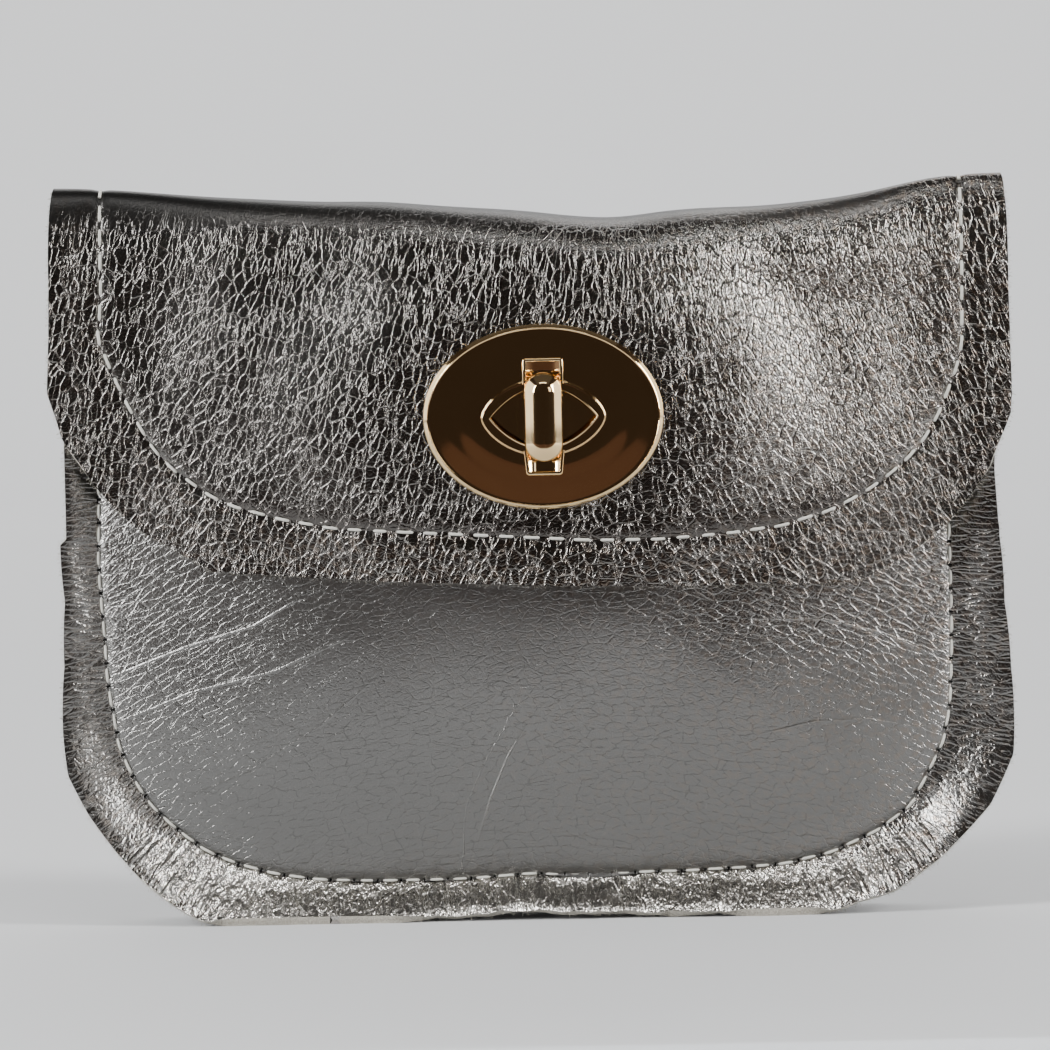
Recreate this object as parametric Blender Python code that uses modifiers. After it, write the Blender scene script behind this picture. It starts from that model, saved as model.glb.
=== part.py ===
"""A turnlock coin purse of metallic pebbled leather, standing upright with its front towards -Y.

Two leather panels, each with a thin lining, are sewn together round a U-shaped seam. A lined flap folds
over the top, and a turnlock closes it: an oval plate on the flap, and a base with a turning bar on the
front panel. Lengths are in metres, +Z is up, and the origin is under the middle of the purse.
"""

import math

import bmesh
import bpy
from mathutils import Vector

# Body panels
HALF_WIDTH = 0.0675
MOUTH_HEIGHT = 0.092
FOLD_RISE = 0.00785
FOLD_HEIGHT = MOUTH_HEIGHT + FOLD_RISE
LEATHER = 0.0011
LINING = 0.0006
LAY_GAP = 0.0003
LINING_TRIM = 0.002
LINING_DROP = 0.004
BASE_ARCH = 0.0012
BASE_ARCH_HALF = 0.018
EDGE_OVERDROP = 0.0015

# Body seam, a superellipse below its turn and straight above it
SEAM_MARGIN = 0.006
SEAM_HALF_WIDTH = HALF_WIDTH - SEAM_MARGIN
SEAM_BOTTOM = 0.006
SEAM_TURN_DROP = 0.037
SEAM_TURN = MOUTH_HEIGHT - SEAM_TURN_DROP
SEAM_SQUARENESS_SHARE = 4.4
THREAD_RADIUS = 0.00025

# Fullness of the pocket
FRONT_PUFF = 0.009
BACK_PUFF = 0.008
FRONT_TAPER_SHARE = 0.25
SIDE_FLARE = 0.0018
FRONT_FLARE = 0.0065
BACK_FLARE = 0.003

# Flap
FLAP_BRIDGE = 0.0012
CROWN_RISE = 0.0058
FLAP_OVERHANG = 0.0017
FLAP_HALF_WIDTH = HALF_WIDTH + FLAP_OVERHANG
FLAP_LENGTH = 0.0508
FLAP_SLANT = 0.001
FLAP_SEAM_MARGIN = 0.0076
FLAP_SEAM_HALF_WIDTH = FLAP_HALF_WIDTH - FLAP_SEAM_MARGIN
FLAP_SEAM_TURN_DROP = 0.006
FLAP_SEAM_TURN = MOUTH_HEIGHT - FLAP_SEAM_TURN_DROP
FLAP_SEAM_DEPTH = 0.0304
FLAP_SEAM_SQUARENESS_SHARE = 2.5
ROLL_START_SHARE = 0.3
# Rise of the crown over its lowest place, as a share of CROWN_RISE, at shares of the half width
CROWN_SHARES = (
    (-1.0, 1.0),
    (-0.68, 0.72),
    (-0.44, 0.54),
    (-0.2, 0.4),
    (0.0, 0.22),
    (0.2, 0.0),
    (0.36, 0.22),
    (0.56, 0.32),
    (0.73, 0.58),
    (0.86, 0.86),
    (1.0, 0.94),
)
# Half the flap's width, as a share of FLAP_HALF_WIDTH, at shares of its length below the fold
FLAP_EDGE_SHARES = (
    (0.0, 0.985),
    (0.2, 1.0),
    (0.29, 1.002),
    (0.38, 1.003),
    (0.46, 1.0),
    (0.53, 0.99),
    (0.59, 0.98),
    (0.65, 0.955),
    (0.72, 0.925),
    (0.8, 0.88),
    (0.88, 0.82),
    (0.94, 0.755),
    (1.0, 0.66),
)

# Lock, measured from its centre
LOCK_X = 0.0013
LOCK_DROP = 0.0193
LOCK_HEIGHT = MOUTH_HEIGHT - LOCK_DROP
PLATE_WIDTH = 0.034
PLATE_HEIGHT = 0.0262
PLATE_RISE = 0.0021
OPENING_WIDTH = 0.0149
OPENING_SLIMNESS_SHARE = 0.564
OPENING_HEIGHT = OPENING_WIDTH * OPENING_SLIMNESS_SHARE
COLLAR_WIDTH = 0.0011
SEAT_WIDTH = 0.0058
SEAT_REACH = 0.0083
SEAT_WALL = 0.0006
FLAP_HOLE_WIDTH = 0.022
FLAP_HOLE_HEIGHT = 0.0154
BACKING_SHEET = 0.0006
BACKING_LAND = 0.0044
METAL_GAP = 0.0002
PAD_SHARE = 1.15
PAD_FADE_SHARE = 2.5
SCREW_RADIUS = 0.0008
SCREW_HEAD_RADIUS = 0.0014
POST_WALL = 0.0006
POST_DEPTH = 0.0014

# The plate's section from its rim to its opening and back: place and height as shares
PLATE_SECTION_SHARES = (
    (0.0, 0.0),
    (0.0, 0.3),
    (0.03, 0.42),
    (0.08, 0.4),
    (0.12, 0.38),
    (0.25, 0.6),
    (0.45, 0.8),
    (0.65, 0.84),
    (0.87, 0.7),
    (0.89, 0.92),
    (0.94, 1.0),
    (1.0, 0.96),
    (1.0, 0.6),
    (0.9, 0.5),
    (0.65, 0.5),
    (0.45, 0.46),
    (0.25, 0.26),
    (0.1, 0.0),
)
SEAT_ROOT_SHARE = 0.65
POST_ROOT_SHARE = 0.6
POST_BORE_SHARE = 0.3

# Turn base and bar
BASE_CLEARANCE = 0.0015
BASE_SHEET = 0.0008
NECK_WIDTH = 0.007
NECK_HEIGHT = 0.0054
STEM_RADIUS = 0.00125
STEM_CLEARANCE = 0.0001
TENON_RADIUS = 0.0008
PRONG_SPACING = 0.0065
PRONG_WIDTH = 0.0032
PRONG_SHEET = 0.0005
PRONG_BEND = 0.0024
WELL_RADIUS = 0.0038
WASHER_SHEET = 0.0005
DISC_RADIUS = 0.0031
DISC_SHEET = 0.0006
NUT_RADIUS = 0.0019
NUT_SHEET = 0.0005
SPRING_RISE = 0.0003
SPRING_SHEET = 0.0002
BAR_LENGTH = 0.0125
BAR_WIDTH = 0.0054
BAR_THICKNESS = 0.0024
BAR_ROUNDING = 0.0009

FLAP_PIECES = (
    "flap_panel",
    "flap_lining",
    "flap_seam_thread",
    "lock_plate",
    "lock_backing_plate",
    "lock_screw_left",
    "lock_screw_right",
)
BAR_PIECES = ("turn_bar", "detent_disc", "push_nut")

CUT_OVERRUN = 0.002
AXIS_MARK = 0.01
WELD = 0.000001
POCKET_RINGS = 8
MARGIN_RINGS = 2
RINGS = POCKET_RINGS + MARGIN_RINGS
UPPER_ROWS = 6
PLATE_SIDES = 44
ROUND_SIDES = 24

# Depths, forwards from the pocket's middle plane where the two linings meet
PANEL_STACK = LAY_GAP / 2 + LINING + LAY_GAP + LEATHER
FLAP_STACK = LINING + LAY_GAP + LEATHER
FLAP_MIDDLE = LINING + LAY_GAP + LEATHER / 2
HINGE_DEPTH = PANEL_STACK - LEATHER / 2
BODY_TOP = FOLD_HEIGHT - LEATHER / 2 - LAY_GAP
ROLL_DROP = FOLD_HEIGHT - MOUTH_HEIGHT

# Depths at the lock, forwards from the front panel's outer face
BACKING_FRONT = LAY_GAP + BACKING_SHEET
FLAP_LIFT = BACKING_SHEET + METAL_GAP
PLATE_BACK = LAY_GAP + FLAP_LIFT + FLAP_STACK + METAL_GAP
COLLAR_FRONT = PLATE_BACK + PLATE_RISE
BAR_BACK = COLLAR_FRONT + SEAT_WALL / 2 + METAL_GAP
BAR_FRONT = BAR_BACK + BAR_THICKNESS
LINING_BACK = -(LEATHER + LAY_GAP + LINING)
WASHER_FRONT = LINING_BACK - METAL_GAP
WASHER_BACK = WASHER_FRONT - WASHER_SHEET
PRONG_FRONT = WASHER_BACK - METAL_GAP
SPRING_FRONT = LAY_GAP - METAL_GAP
DISC_FRONT = SPRING_FRONT - SPRING_SHEET - SPRING_RISE - METAL_GAP
NUT_FRONT = DISC_FRONT - DISC_SHEET - METAL_GAP
TENON_END = NUT_FRONT - NUT_SHEET - METAL_GAP


def clamp(value, low=0.0, high=1.0):
    return max(low, min(high, value))


def smooth(value):
    """An even ramp from 0 to 1."""
    value = clamp(value)
    return value * value * (3 - 2 * value)


def along(table, place):
    """Reads a table of (place, value) pairs, in a straight line between its rows."""
    for (low, first), (high, second) in zip(table, table[1:]):
        if place <= high:
            return first + (second - first) * clamp((place - low) / (high - low))
    return table[-1][1]


def seam_reach(x, z):
    """0 in the middle of the pocket, 1 on its seam and more outside it."""
    across = abs(x) / SEAM_HALF_WIDTH
    down = max(0, SEAM_TURN - z) / (SEAM_TURN - SEAM_BOTTOM)
    power = SEAM_SQUARENESS_SHARE
    return (across**power + down**power) ** (1 / power)


def pad_weight(x, z):
    """1 where the lock presses the leather flat, fading to 0 away from it."""
    across, up = (x - LOCK_X) / (PLATE_WIDTH / 2), (z - LOCK_HEIGHT) / (PLATE_HEIGHT / 2)
    return 1 - smooth((math.hypot(across, up) - PAD_SHARE) / (PAD_FADE_SHARE - PAD_SHARE))


def margin_flare(x, z, side, bottom):
    """How far a margin leans out of the seam's plane."""
    margin = (HALF_WIDTH - SEAM_HALF_WIDTH) / SEAM_HALF_WIDTH
    low = clamp((SEAM_TURN - z) / SEAM_TURN) ** 3
    return smooth((seam_reach(x, z) - 1) / margin) * (side + (bottom - side) * low)


def front_puff(x, z):
    rise = clamp((z - SEAM_TURN) / (MOUTH_HEIGHT - SEAM_TURN))
    full = max(0, 1 - seam_reach(x, z) ** 2)
    return FRONT_PUFF * full * (1 - FRONT_TAPER_SHARE * rise**2)


def front_bulge(x, z):
    """Depth of the front layers' shape: the pocket's puff, flat at the lock, and the flared margin."""
    flat = pad_weight(x, z)
    puff = front_puff(x, z) * (1 - flat) + front_puff(LOCK_X, LOCK_HEIGHT) * flat
    return puff + margin_flare(x, z, SIDE_FLARE, FRONT_FLARE)


def back_bulge(x, z):
    rise = clamp((z - SEAM_TURN) / (MOUTH_HEIGHT - SEAM_TURN))
    puff = BACK_PUFF * max(0, 1 - seam_reach(x, z) ** 2) * (1 - smooth(rise))
    return puff + margin_flare(x, z, 0, BACK_FLARE)


LOCK_DEPTH = PANEL_STACK + front_puff(LOCK_X, LOCK_HEIGHT)
FRONT_DEPTH = LOCK_DEPTH + BAR_FRONT
BACK_DEPTH = PANEL_STACK + BACK_PUFF
MIDDLE_Y = (FRONT_DEPTH - BACK_DEPTH) / 2


def lock_y(depth):
    """World Y of a depth measured forwards from the front panel's face at the lock."""
    return MIDDLE_Y - LOCK_DEPTH - depth


def material(name, color, metallic, roughness):
    made = bpy.data.materials.new(name)
    made.use_nodes = True
    shader = made.node_tree.nodes["Principled BSDF"]
    shader.inputs["Base Color"].default_value = (*color, 1)
    shader.inputs["Metallic"].default_value = metallic
    shader.inputs["Roughness"].default_value = roughness
    return made


def add_object(name, mesh, collection, finish):
    made = bpy.data.objects.new(name, mesh)
    collection.objects.link(made)
    made.data.materials.append(finish)
    for face in made.data.polygons:
        face.use_smooth = True
    made.data.set_sharp_from_angle(angle=math.radians(35))
    return made


def mesh_from(name, shape):
    mesh = bpy.data.meshes.new(name)
    bmesh.ops.remove_doubles(shape, verts=shape.verts[:], dist=WELD)
    bmesh.ops.recalc_face_normals(shape, faces=shape.faces[:])
    shape.to_mesh(mesh)
    shape.free()
    return mesh


def sheet_mesh(name, rows, place):
    """A closed sheet: a flat grid thickened and moved, so that place(across, row, layer) is each corner."""
    shape = bmesh.new()
    bmesh.ops.create_grid(shape, x_segments=2 * RINGS, y_segments=rows - 1, size=0.5)
    grown = bmesh.ops.extrude_face_region(shape, geom=shape.faces[:])
    outer = {corner for corner in grown["geom"] if isinstance(corner, bmesh.types.BMVert)}
    for corner in shape.verts:
        row = round((corner.co.y + 0.5) * (rows - 1))
        corner.co = place(2 * corner.co.x, row, 1 if corner in outer else 0)
    return mesh_from(name, shape)


def base_arch(x, z):
    """The bottom edge's lift off the table, towards its middle."""
    turn = clamp(abs(x) / BASE_ARCH_HALF) * math.pi / 2
    return BASE_ARCH * math.cos(turn) ** 2 * clamp(1 - z / SEAM_BOTTOM)


def ring_place(norm, trim_share):
    """Shares of the way from the middle to the seam, and from there to the raw edge, of a ring of corners."""
    rings = norm * RINGS
    return min(1, rings / POCKET_RINGS), max(0, rings - POCKET_RINGS) / MARGIN_RINGS * trim_share


def body_spot(across, up, top, trim_share):
    """(x, z) of a grid corner, with rings of the grid on the seam and on the raw edge."""
    margin_width = HALF_WIDTH - SEAM_HALF_WIDTH
    if up >= 0:
        pocket, margin = ring_place(abs(across), trim_share)
        x = math.copysign(SEAM_HALF_WIDTH * pocket + margin_width * margin, across)
        return x, SEAM_TURN + (top - SEAM_TURN) * up
    norm = max(abs(across), -up)
    pocket, margin = ring_place(norm, trim_share)
    aside, down = across / norm, -up / norm
    power = SEAM_SQUARENESS_SHARE
    scale = (abs(aside) ** power + down**power) ** (-1 / power)
    seam = Vector((SEAM_HALF_WIDTH * aside, -(SEAM_TURN - SEAM_BOTTOM) * down)) * scale * pocket
    edge = Vector((HALF_WIDTH * aside, -(SEAM_TURN + EDGE_OVERDROP) * down)) * scale
    x, z = seam.lerp(edge, margin)
    return x, max(0, SEAM_TURN + z)


def body_sheet(name, top, trim_share, bulge, near, far, forwards):
    """A layer of the body. near and far are its faces' depths from the pocket's middle plane."""

    def place(across, row, layer):
        up = (row - RINGS) / (RINGS if row < RINGS else UPPER_ROWS)
        x, z = body_spot(across, up, top, trim_share)
        depth = (far if layer else near) + bulge(x, z)
        return Vector((x, MIDDLE_Y + (-depth if forwards else depth), z + base_arch(x, z)))

    return sheet_mesh(name, RINGS + UPPER_ROWS + 1, place)


def tube(name, points, radius, collection, finish):
    """A round thread along the points."""
    curve = bpy.data.curves.new(name, "CURVE")
    curve.dimensions = "3D"
    curve.bevel_depth = radius
    curve.bevel_resolution = 1
    curve.use_fill_caps = True
    run = curve.splines.new("POLY")
    run.points.add(len(points) - 1)
    for point, place in zip(run.points, points):
        point.co = (*place, 1)
    made = bpy.data.objects.new(name, curve)
    collection.objects.link(made)
    made.data.materials.append(finish)
    return made


def seam_points(half_width, turn, depth, squareness, top, count):
    """(x, z) along a U-shaped seam, from its top left round to its top right."""
    points = []
    for step in range(count + 1):
        angle = math.pi * (1 - step / count)
        across, down = math.cos(angle), math.sin(angle)
        x = math.copysign(half_width * abs(across) ** (2 / squareness), across)
        points.append((x, turn - depth * down ** (2 / squareness)))
    sides = 4
    left = [(-half_width, top + (turn - top) * step / sides) for step in range(sides)]
    return left + points + [(-x, z) for x, z in reversed(left)]


def body_seam_points():
    depth = SEAM_TURN - SEAM_BOTTOM
    top = MOUTH_HEIGHT - LINING_TRIM
    return seam_points(SEAM_HALF_WIDTH, SEAM_TURN, depth, SEAM_SQUARENESS_SHARE, top, 36)


def leather_body(parts, finishes):
    """The two panels, their linings and the two threads of the seam."""
    panel = (PANEL_STACK - LEATHER, PANEL_STACK)
    lining = (LAY_GAP / 2, LAY_GAP / 2 + LINING)
    trim = LINING_TRIM / (HALF_WIDTH - SEAM_HALF_WIDTH)
    layers = (
        ("back_panel", "leather", BODY_TOP, 1, back_bulge, panel, False),
        ("front_panel", "leather", MOUTH_HEIGHT, 1, front_bulge, panel, True),
        ("back_lining", "lining", BODY_TOP - LINING_DROP, trim, back_bulge, lining, False),
        ("front_lining", "lining", MOUTH_HEIGHT, trim, front_bulge, lining, True),
    )
    made = {}
    for name, finish, top, trim_share, bulge, (near, far), forwards in layers:
        mesh = body_sheet(name, top, trim_share, bulge, near, far, forwards)
        made[name] = add_object(name, mesh, parts, finishes[finish])
    clear = PANEL_STACK + LAY_GAP + THREAD_RADIUS
    for name, bulge, side in (
        ("body_seam_thread_front", front_bulge, -1),
        ("body_seam_thread_back", back_bulge, 1),
    ):
        route = [(x, MIDDLE_Y + side * (clear + bulge(x, z)), z) for x, z in body_seam_points()]
        tube(name, route, THREAD_RADIUS, parts, finishes["thread"])
    return made


def flap_depth(x, z):
    """Depth of the flap's rear face where it hangs in front of the pocket and bridges the seam's valley."""
    bulge = front_bulge(x, z)
    if bulge < 2 * FLAP_BRIDGE:
        bulge = FLAP_BRIDGE + bulge**2 / (4 * FLAP_BRIDGE)
    return PANEL_STACK + bulge + LAY_GAP + FLAP_LIFT * pad_weight(x, z)


def bezier(ends, share):
    """Point and direction on a cubic curve in the Y-Z plane."""
    a, b, c, d = ends
    rest = 1 - share
    point = a * rest**3 + b * 3 * rest**2 * share + c * 3 * rest * share**2 + d * share**3
    heading = (b - a) * rest**2 + (c - b) * 2 * rest * share + (d - c) * share**2
    return point, heading.normalized()


def roll_curve(x):
    """The leather's middle line over the top, from the fold line to where the flap hangs straight."""
    reach = flap_depth(x, MOUTH_HEIGHT) + FLAP_MIDDLE + HINGE_DEPTH
    rise = CROWN_RISE * along(CROWN_SHARES, x / FLAP_HALF_WIDTH)
    start = Vector((0, 0))
    first = Vector((-reach / 2, rise * ROLL_START_SHARE))
    lift = (ROLL_DROP / 2 + rise - first.y * 3 / 8) * 8 / 3
    end = Vector((-reach, -ROLL_DROP))
    return start, first, end + Vector((0, lift)), end


def flap_rows():
    """Rows of the flap: its rounded edge on the fold line, the roll over the top, then the hanging part."""
    nose = [("nose", math.radians(angle)) for angle in (72, 48, 24)]
    steps = 8
    roll = [("roll", step / steps) for step in range(steps + 1)]
    hang = [("hang", share) for share, _ in FLAP_EDGE_SHARES if share > ROLL_DROP / FLAP_LENGTH]
    return nose + roll + hang


def flap_half_width(share):
    return FLAP_HALF_WIDTH * along(FLAP_EDGE_SHARES, share)


def roll_point(x, share, side, turn=0):
    """A point of the roll, this far outside its middle line and turned back round the fold line."""
    point, heading = bezier(roll_curve(x), share)
    normal = Vector((heading.y, -heading.x))
    point = point + normal * side * math.cos(turn) - heading * abs(side) * math.sin(turn)
    return Vector((x, MIDDLE_Y + HINGE_DEPTH + point.x, FOLD_HEIGHT + point.y))


def flap_panel_mesh():
    rows = flap_rows()

    def place(across, row, layer):
        kind, value = rows[row]
        side = LEATHER / 2 * (1 if layer else -1)
        if kind == "hang":
            x = across * flap_half_width(value)
            z = FOLD_HEIGHT - value * FLAP_LENGTH - FLAP_SLANT * across * smooth(value)
            return Vector((x, MIDDLE_Y - flap_depth(x, z) - FLAP_MIDDLE - side, z))
        turn = value if kind == "nose" else 0
        share = value if kind == "roll" else 0
        x = across * flap_half_width(share * ROLL_DROP / FLAP_LENGTH)
        return roll_point(x, share, side, turn)

    return sheet_mesh("flap_panel", len(rows), place)


def flap_lining_mesh():
    turns = [math.radians(angle) for angle in (80, 66, 54, 43, 32, 21, 10, 0)]
    depth, power = FLAP_SEAM_DEPTH + LINING_TRIM, FLAP_SEAM_SQUARENESS_SHARE
    widest = FLAP_SEAM_HALF_WIDTH + LINING_TRIM
    rows = [(math.cos(turn) ** (2 / power), depth * math.sin(turn) ** (2 / power)) for turn in turns]
    rows.append((1, FLAP_SEAM_TURN - MOUTH_HEIGHT))

    def place(across, row, layer):
        width, drop = rows[row]
        x, z = across * widest * width, FLAP_SEAM_TURN - drop
        return Vector((x, MIDDLE_Y - flap_depth(x, z) - layer * LINING, z))

    return sheet_mesh("flap_lining", len(rows), place)


def flap_seam_route():
    """The flap's stitches: down from the roll, round the flap and up to the roll again."""
    clear = LEATHER / 2 + LAY_GAP + THREAD_RADIUS
    width, power = FLAP_SEAM_HALF_WIDTH, FLAP_SEAM_SQUARENESS_SHARE
    top = FOLD_HEIGHT - ROLL_DROP
    hang = seam_points(width, FLAP_SEAM_TURN, FLAP_SEAM_DEPTH, power, top, 32)
    route = [(x, MIDDLE_Y - flap_depth(x, z) - FLAP_MIDDLE - clear, z) for x, z in hang]
    shares = (0.6, 0.7, 0.8, 0.9)
    left = [roll_point(-width, share, clear) for share in shares]
    right = [roll_point(width, share, clear) for share in reversed(shares)]
    return left + route + right


def leather_flap(parts, finishes):
    """The flap's skin, its lining and the row of stitches round it."""
    panel = add_object("flap_panel", flap_panel_mesh(), parts, finishes["leather"])
    lining = add_object("flap_lining", flap_lining_mesh(), parts, finishes["lining"])
    tube("flap_seam_thread", flap_seam_route(), THREAD_RADIUS, parts, finishes["thread"])
    return {"flap_panel": panel, "flap_lining": lining}


def face_forward(made, x, depth, z):
    """Places a piece made round its own Z, so that its Z points out of the front at the lock."""
    made.rotation_euler = (math.radians(90), 0, 0)
    made.location = (LOCK_X + x, lock_y(depth), LOCK_HEIGHT + z)
    return made


def turned(name, profile, collection, finish, closed=False):
    """A turned piece: radius and height of its outer side, from top to bottom."""
    mesh = bpy.data.meshes.new(name)
    edges = [(step, step + 1) for step in range(len(profile) - 1)]
    if closed:
        edges.append((len(profile) - 1, 0))
    mesh.from_pydata([(radius, 0, height) for radius, height in profile], edges, [])
    made = bpy.data.objects.new(name, mesh)
    collection.objects.link(made)
    made.data.materials.append(finish)
    spin = made.modifiers.new("turn", "SCREW")
    spin.steps = spin.render_steps = ROUND_SIDES
    spin.use_merge_vertices = True
    spin.merge_threshold = WELD
    return made


def rod_profile(radius, top, bottom):
    return [(0, top), (radius, top), (radius, bottom), (0, bottom)]


def ring_profile(outer, inner, top, bottom):
    return [(outer, top), (outer, bottom), (inner, bottom), (inner, top)]


def ellipse_outline(width, height):
    turns = [2 * math.pi * side / ROUND_SIDES for side in range(ROUND_SIDES)]
    return [(width / 2 * math.cos(turn), height / 2 * math.sin(turn)) for turn in turns]


def box_outline(x, width, height):
    return [(x + a * width / 2, b * height / 2) for a, b in ((1, 1), (-1, 1), (-1, -1), (1, -1))]


def flat_plate(name, outlines, sheet, collection, finish):
    """A flat plate: the first outline is its edge and the others are its holes. It becomes a mesh."""
    curve = bpy.data.curves.new(name, "CURVE")
    curve.dimensions = "2D"
    curve.fill_mode = "BOTH"
    curve.extrude = sheet / 2
    for outline in outlines:
        edge = curve.splines.new("POLY")
        edge.points.add(len(outline) - 1)
        edge.use_cyclic_u = True
        for point, place in zip(edge.points, outline):
            point.co = (*place, 0, 1)
    drawn = bpy.data.objects.new(name, curve)
    collection.objects.link(drawn)
    evaluated = drawn.evaluated_get(bpy.context.evaluated_depsgraph_get())
    mesh = bpy.data.meshes.new_from_object(evaluated)
    bpy.data.objects.remove(drawn)
    shape = bmesh.new()
    shape.from_mesh(mesh)
    bmesh.ops.remove_doubles(shape, verts=shape.verts[:], dist=WELD)
    shape.to_mesh(mesh)
    shape.free()
    made = bpy.data.objects.new(name, mesh)
    collection.objects.link(made)
    made.data.materials.clear()
    made.data.materials.append(finish)
    return made


def block(name, size, collection, finish):
    shape = bmesh.new()
    bmesh.ops.create_cube(shape, size=1)
    bmesh.ops.scale(shape, vec=size, verts=shape.verts[:])
    return add_object(name, mesh_from(name, shape), collection, finish)


def combine(target, tool, operation):
    """Joins a helper to a piece or cuts it away, and leaves the helper out of the model."""
    step = target.modifiers.new(tool.name, "BOOLEAN")
    step.operation = operation
    step.object = tool
    tool.hide_render = True
    tool.display_type = "WIRE"


def flange_size():
    width = FLAP_HOLE_WIDTH - 2 * BASE_CLEARANCE
    return width, FLAP_HOLE_HEIGHT - 2 * BASE_CLEARANCE


def prong_slot(side):
    width, height = PRONG_SHEET + 2 * LAY_GAP, PRONG_WIDTH + 2 * LAY_GAP
    return box_outline(side * PRONG_SPACING, width, height)


def base_cutters(cutters, finish):
    """The holes that the turn base needs through the front of the pocket."""
    long = LEATHER + LAY_GAP + LINING + 2 * CUT_OVERRUN
    middle = LINING_BACK / 2
    well = turned("well_cutter", rod_profile(WELL_RADIUS, long / 2, -long / 2), cutters, finish)
    made = [face_forward(well, 0, middle, 0)]
    for side in (-1, 1):
        slot = flat_plate("prong_slot_cutter", [prong_slot(side)], long, cutters, finish)
        made.append(face_forward(slot, 0, middle, 0))
    return made


def turn_base(parts, cutters, finishes):
    """Flange, neck and two bent prongs, with a bore for the bar's stem."""
    gold = finishes["gold"]
    base = flat_plate("turn_base", [ellipse_outline(*flange_size())], BASE_SHEET, parts, gold)
    face_forward(base, 0, LAY_GAP + BASE_SHEET / 2, 0)
    neck_length = BAR_BACK - METAL_GAP - LAY_GAP
    neck = block("neck_joiner", (NECK_WIDTH, NECK_HEIGHT, neck_length), cutters, gold)
    face_forward(neck, 0, LAY_GAP + neck_length / 2, 0)
    combine(base, neck, "UNION")
    tip_back = PRONG_FRONT - PRONG_SHEET
    for side in (-1, 1):
        length = LAY_GAP + BASE_SHEET / 2 - tip_back
        prong = block("prong_joiner", (PRONG_SHEET, PRONG_WIDTH, length), cutters, gold)
        face_forward(prong, side * PRONG_SPACING, tip_back + length / 2, 0)
        combine(base, prong, "UNION")
        tip = block("prong_tip_joiner", (PRONG_BEND, PRONG_WIDTH, PRONG_SHEET), cutters, gold)
        reach = PRONG_SPACING - PRONG_SHEET / 2 + PRONG_BEND / 2
        face_forward(tip, side * reach, tip_back + PRONG_SHEET / 2, 0)
        combine(base, tip, "UNION")
    bore_length = neck_length + 2 * CUT_OVERRUN
    bore = rod_profile(STEM_RADIUS + STEM_CLEARANCE, bore_length / 2, -bore_length / 2)
    cutter = face_forward(turned("bore_cutter", bore, cutters, gold), 0, LAY_GAP + neck_length / 2, 0)
    combine(base, cutter, "DIFFERENCE")
    return base


def base_washer(parts, finishes):
    """The plate inside the pocket, with a hole for the stem's end and a slot for each prong."""
    well = ellipse_outline(2 * WELL_RADIUS, 2 * WELL_RADIUS)
    outlines = [ellipse_outline(*flange_size()), well, prong_slot(-1), prong_slot(1)]
    washer = flat_plate("base_washer", outlines, WASHER_SHEET, parts, finishes["steel"])
    return face_forward(washer, 0, WASHER_BACK + WASHER_SHEET / 2, 0)


def stem_rings(parts, finishes):
    """The dished washer under the base, and the disc and push nut on the stem's thin end."""
    steel = finishes["steel"]
    inner = STEM_RADIUS + METAL_GAP
    dish = [
        (DISC_RADIUS, SPRING_FRONT - SPRING_RISE),
        (DISC_RADIUS, SPRING_FRONT - SPRING_RISE - SPRING_SHEET),
        (inner, SPRING_FRONT - SPRING_SHEET),
        (inner, SPRING_FRONT),
    ]
    spring = face_forward(turned("spring_washer", dish, parts, steel, closed=True), 0, 0, 0)
    bore = TENON_RADIUS + METAL_GAP
    disc = ring_profile(DISC_RADIUS, bore, DISC_FRONT, DISC_FRONT - DISC_SHEET)
    nut = ring_profile(NUT_RADIUS, bore, NUT_FRONT, NUT_FRONT - NUT_SHEET)
    detent = face_forward(turned("detent_disc", disc, parts, steel, closed=True), 0, 0, 0)
    push = face_forward(turned("push_nut", nut, parts, steel, closed=True), 0, 0, 0)
    return spring, detent, push


def bar_outline():
    """A bar with round ends, standing upright."""
    radius, straight = BAR_WIDTH / 2, (BAR_LENGTH - BAR_WIDTH) / 2
    half = ROUND_SIDES // 2
    points = []
    for end in (1, -1):
        for side in range(half + 1):
            turn = math.pi * side / half
            points.append((end * radius * math.cos(turn), end * (straight + radius * math.sin(turn))))
    return points


def turn_bar(parts, cutters, finishes):
    """The bar with rounded edges, and its stem with a thin end for the disc and the nut."""
    gold = finishes["gold"]
    bar = flat_plate("turn_bar", [bar_outline()], BAR_THICKNESS, parts, gold)
    face_forward(bar, 0, BAR_BACK + BAR_THICKNESS / 2, 0)
    edge = bar.modifiers.new("rounded edges", "BEVEL")
    edge.width = BAR_ROUNDING
    edge.segments = 3
    edge.limit_method = "ANGLE"
    edge.angle_limit = math.radians(50)
    shoulder = DISC_FRONT + METAL_GAP
    profile = [
        (0, BAR_BACK + BAR_THICKNESS / 2),
        (STEM_RADIUS, BAR_BACK + BAR_THICKNESS / 2),
        (STEM_RADIUS, shoulder),
        (TENON_RADIUS, shoulder),
        (TENON_RADIUS, TENON_END),
        (0, TENON_END),
    ]
    stem = face_forward(turned("stem_joiner", profile, cutters, gold), 0, 0, 0)
    combine(bar, stem, "UNION")
    return bar


def plate_ring(turn, share):
    """A point of the plate's outline: an ellipse at its rim, an eye with pointed ends at its opening."""
    cosine, sine = math.cos(turn), math.sin(turn)
    rim = Vector((PLATE_WIDTH / 2 * cosine, PLATE_HEIGHT / 2 * sine))
    eye = Vector((OPENING_WIDTH / 2 * cosine, OPENING_HEIGHT / 2 * sine * abs(sine)))
    return rim.lerp(eye, share)


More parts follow.
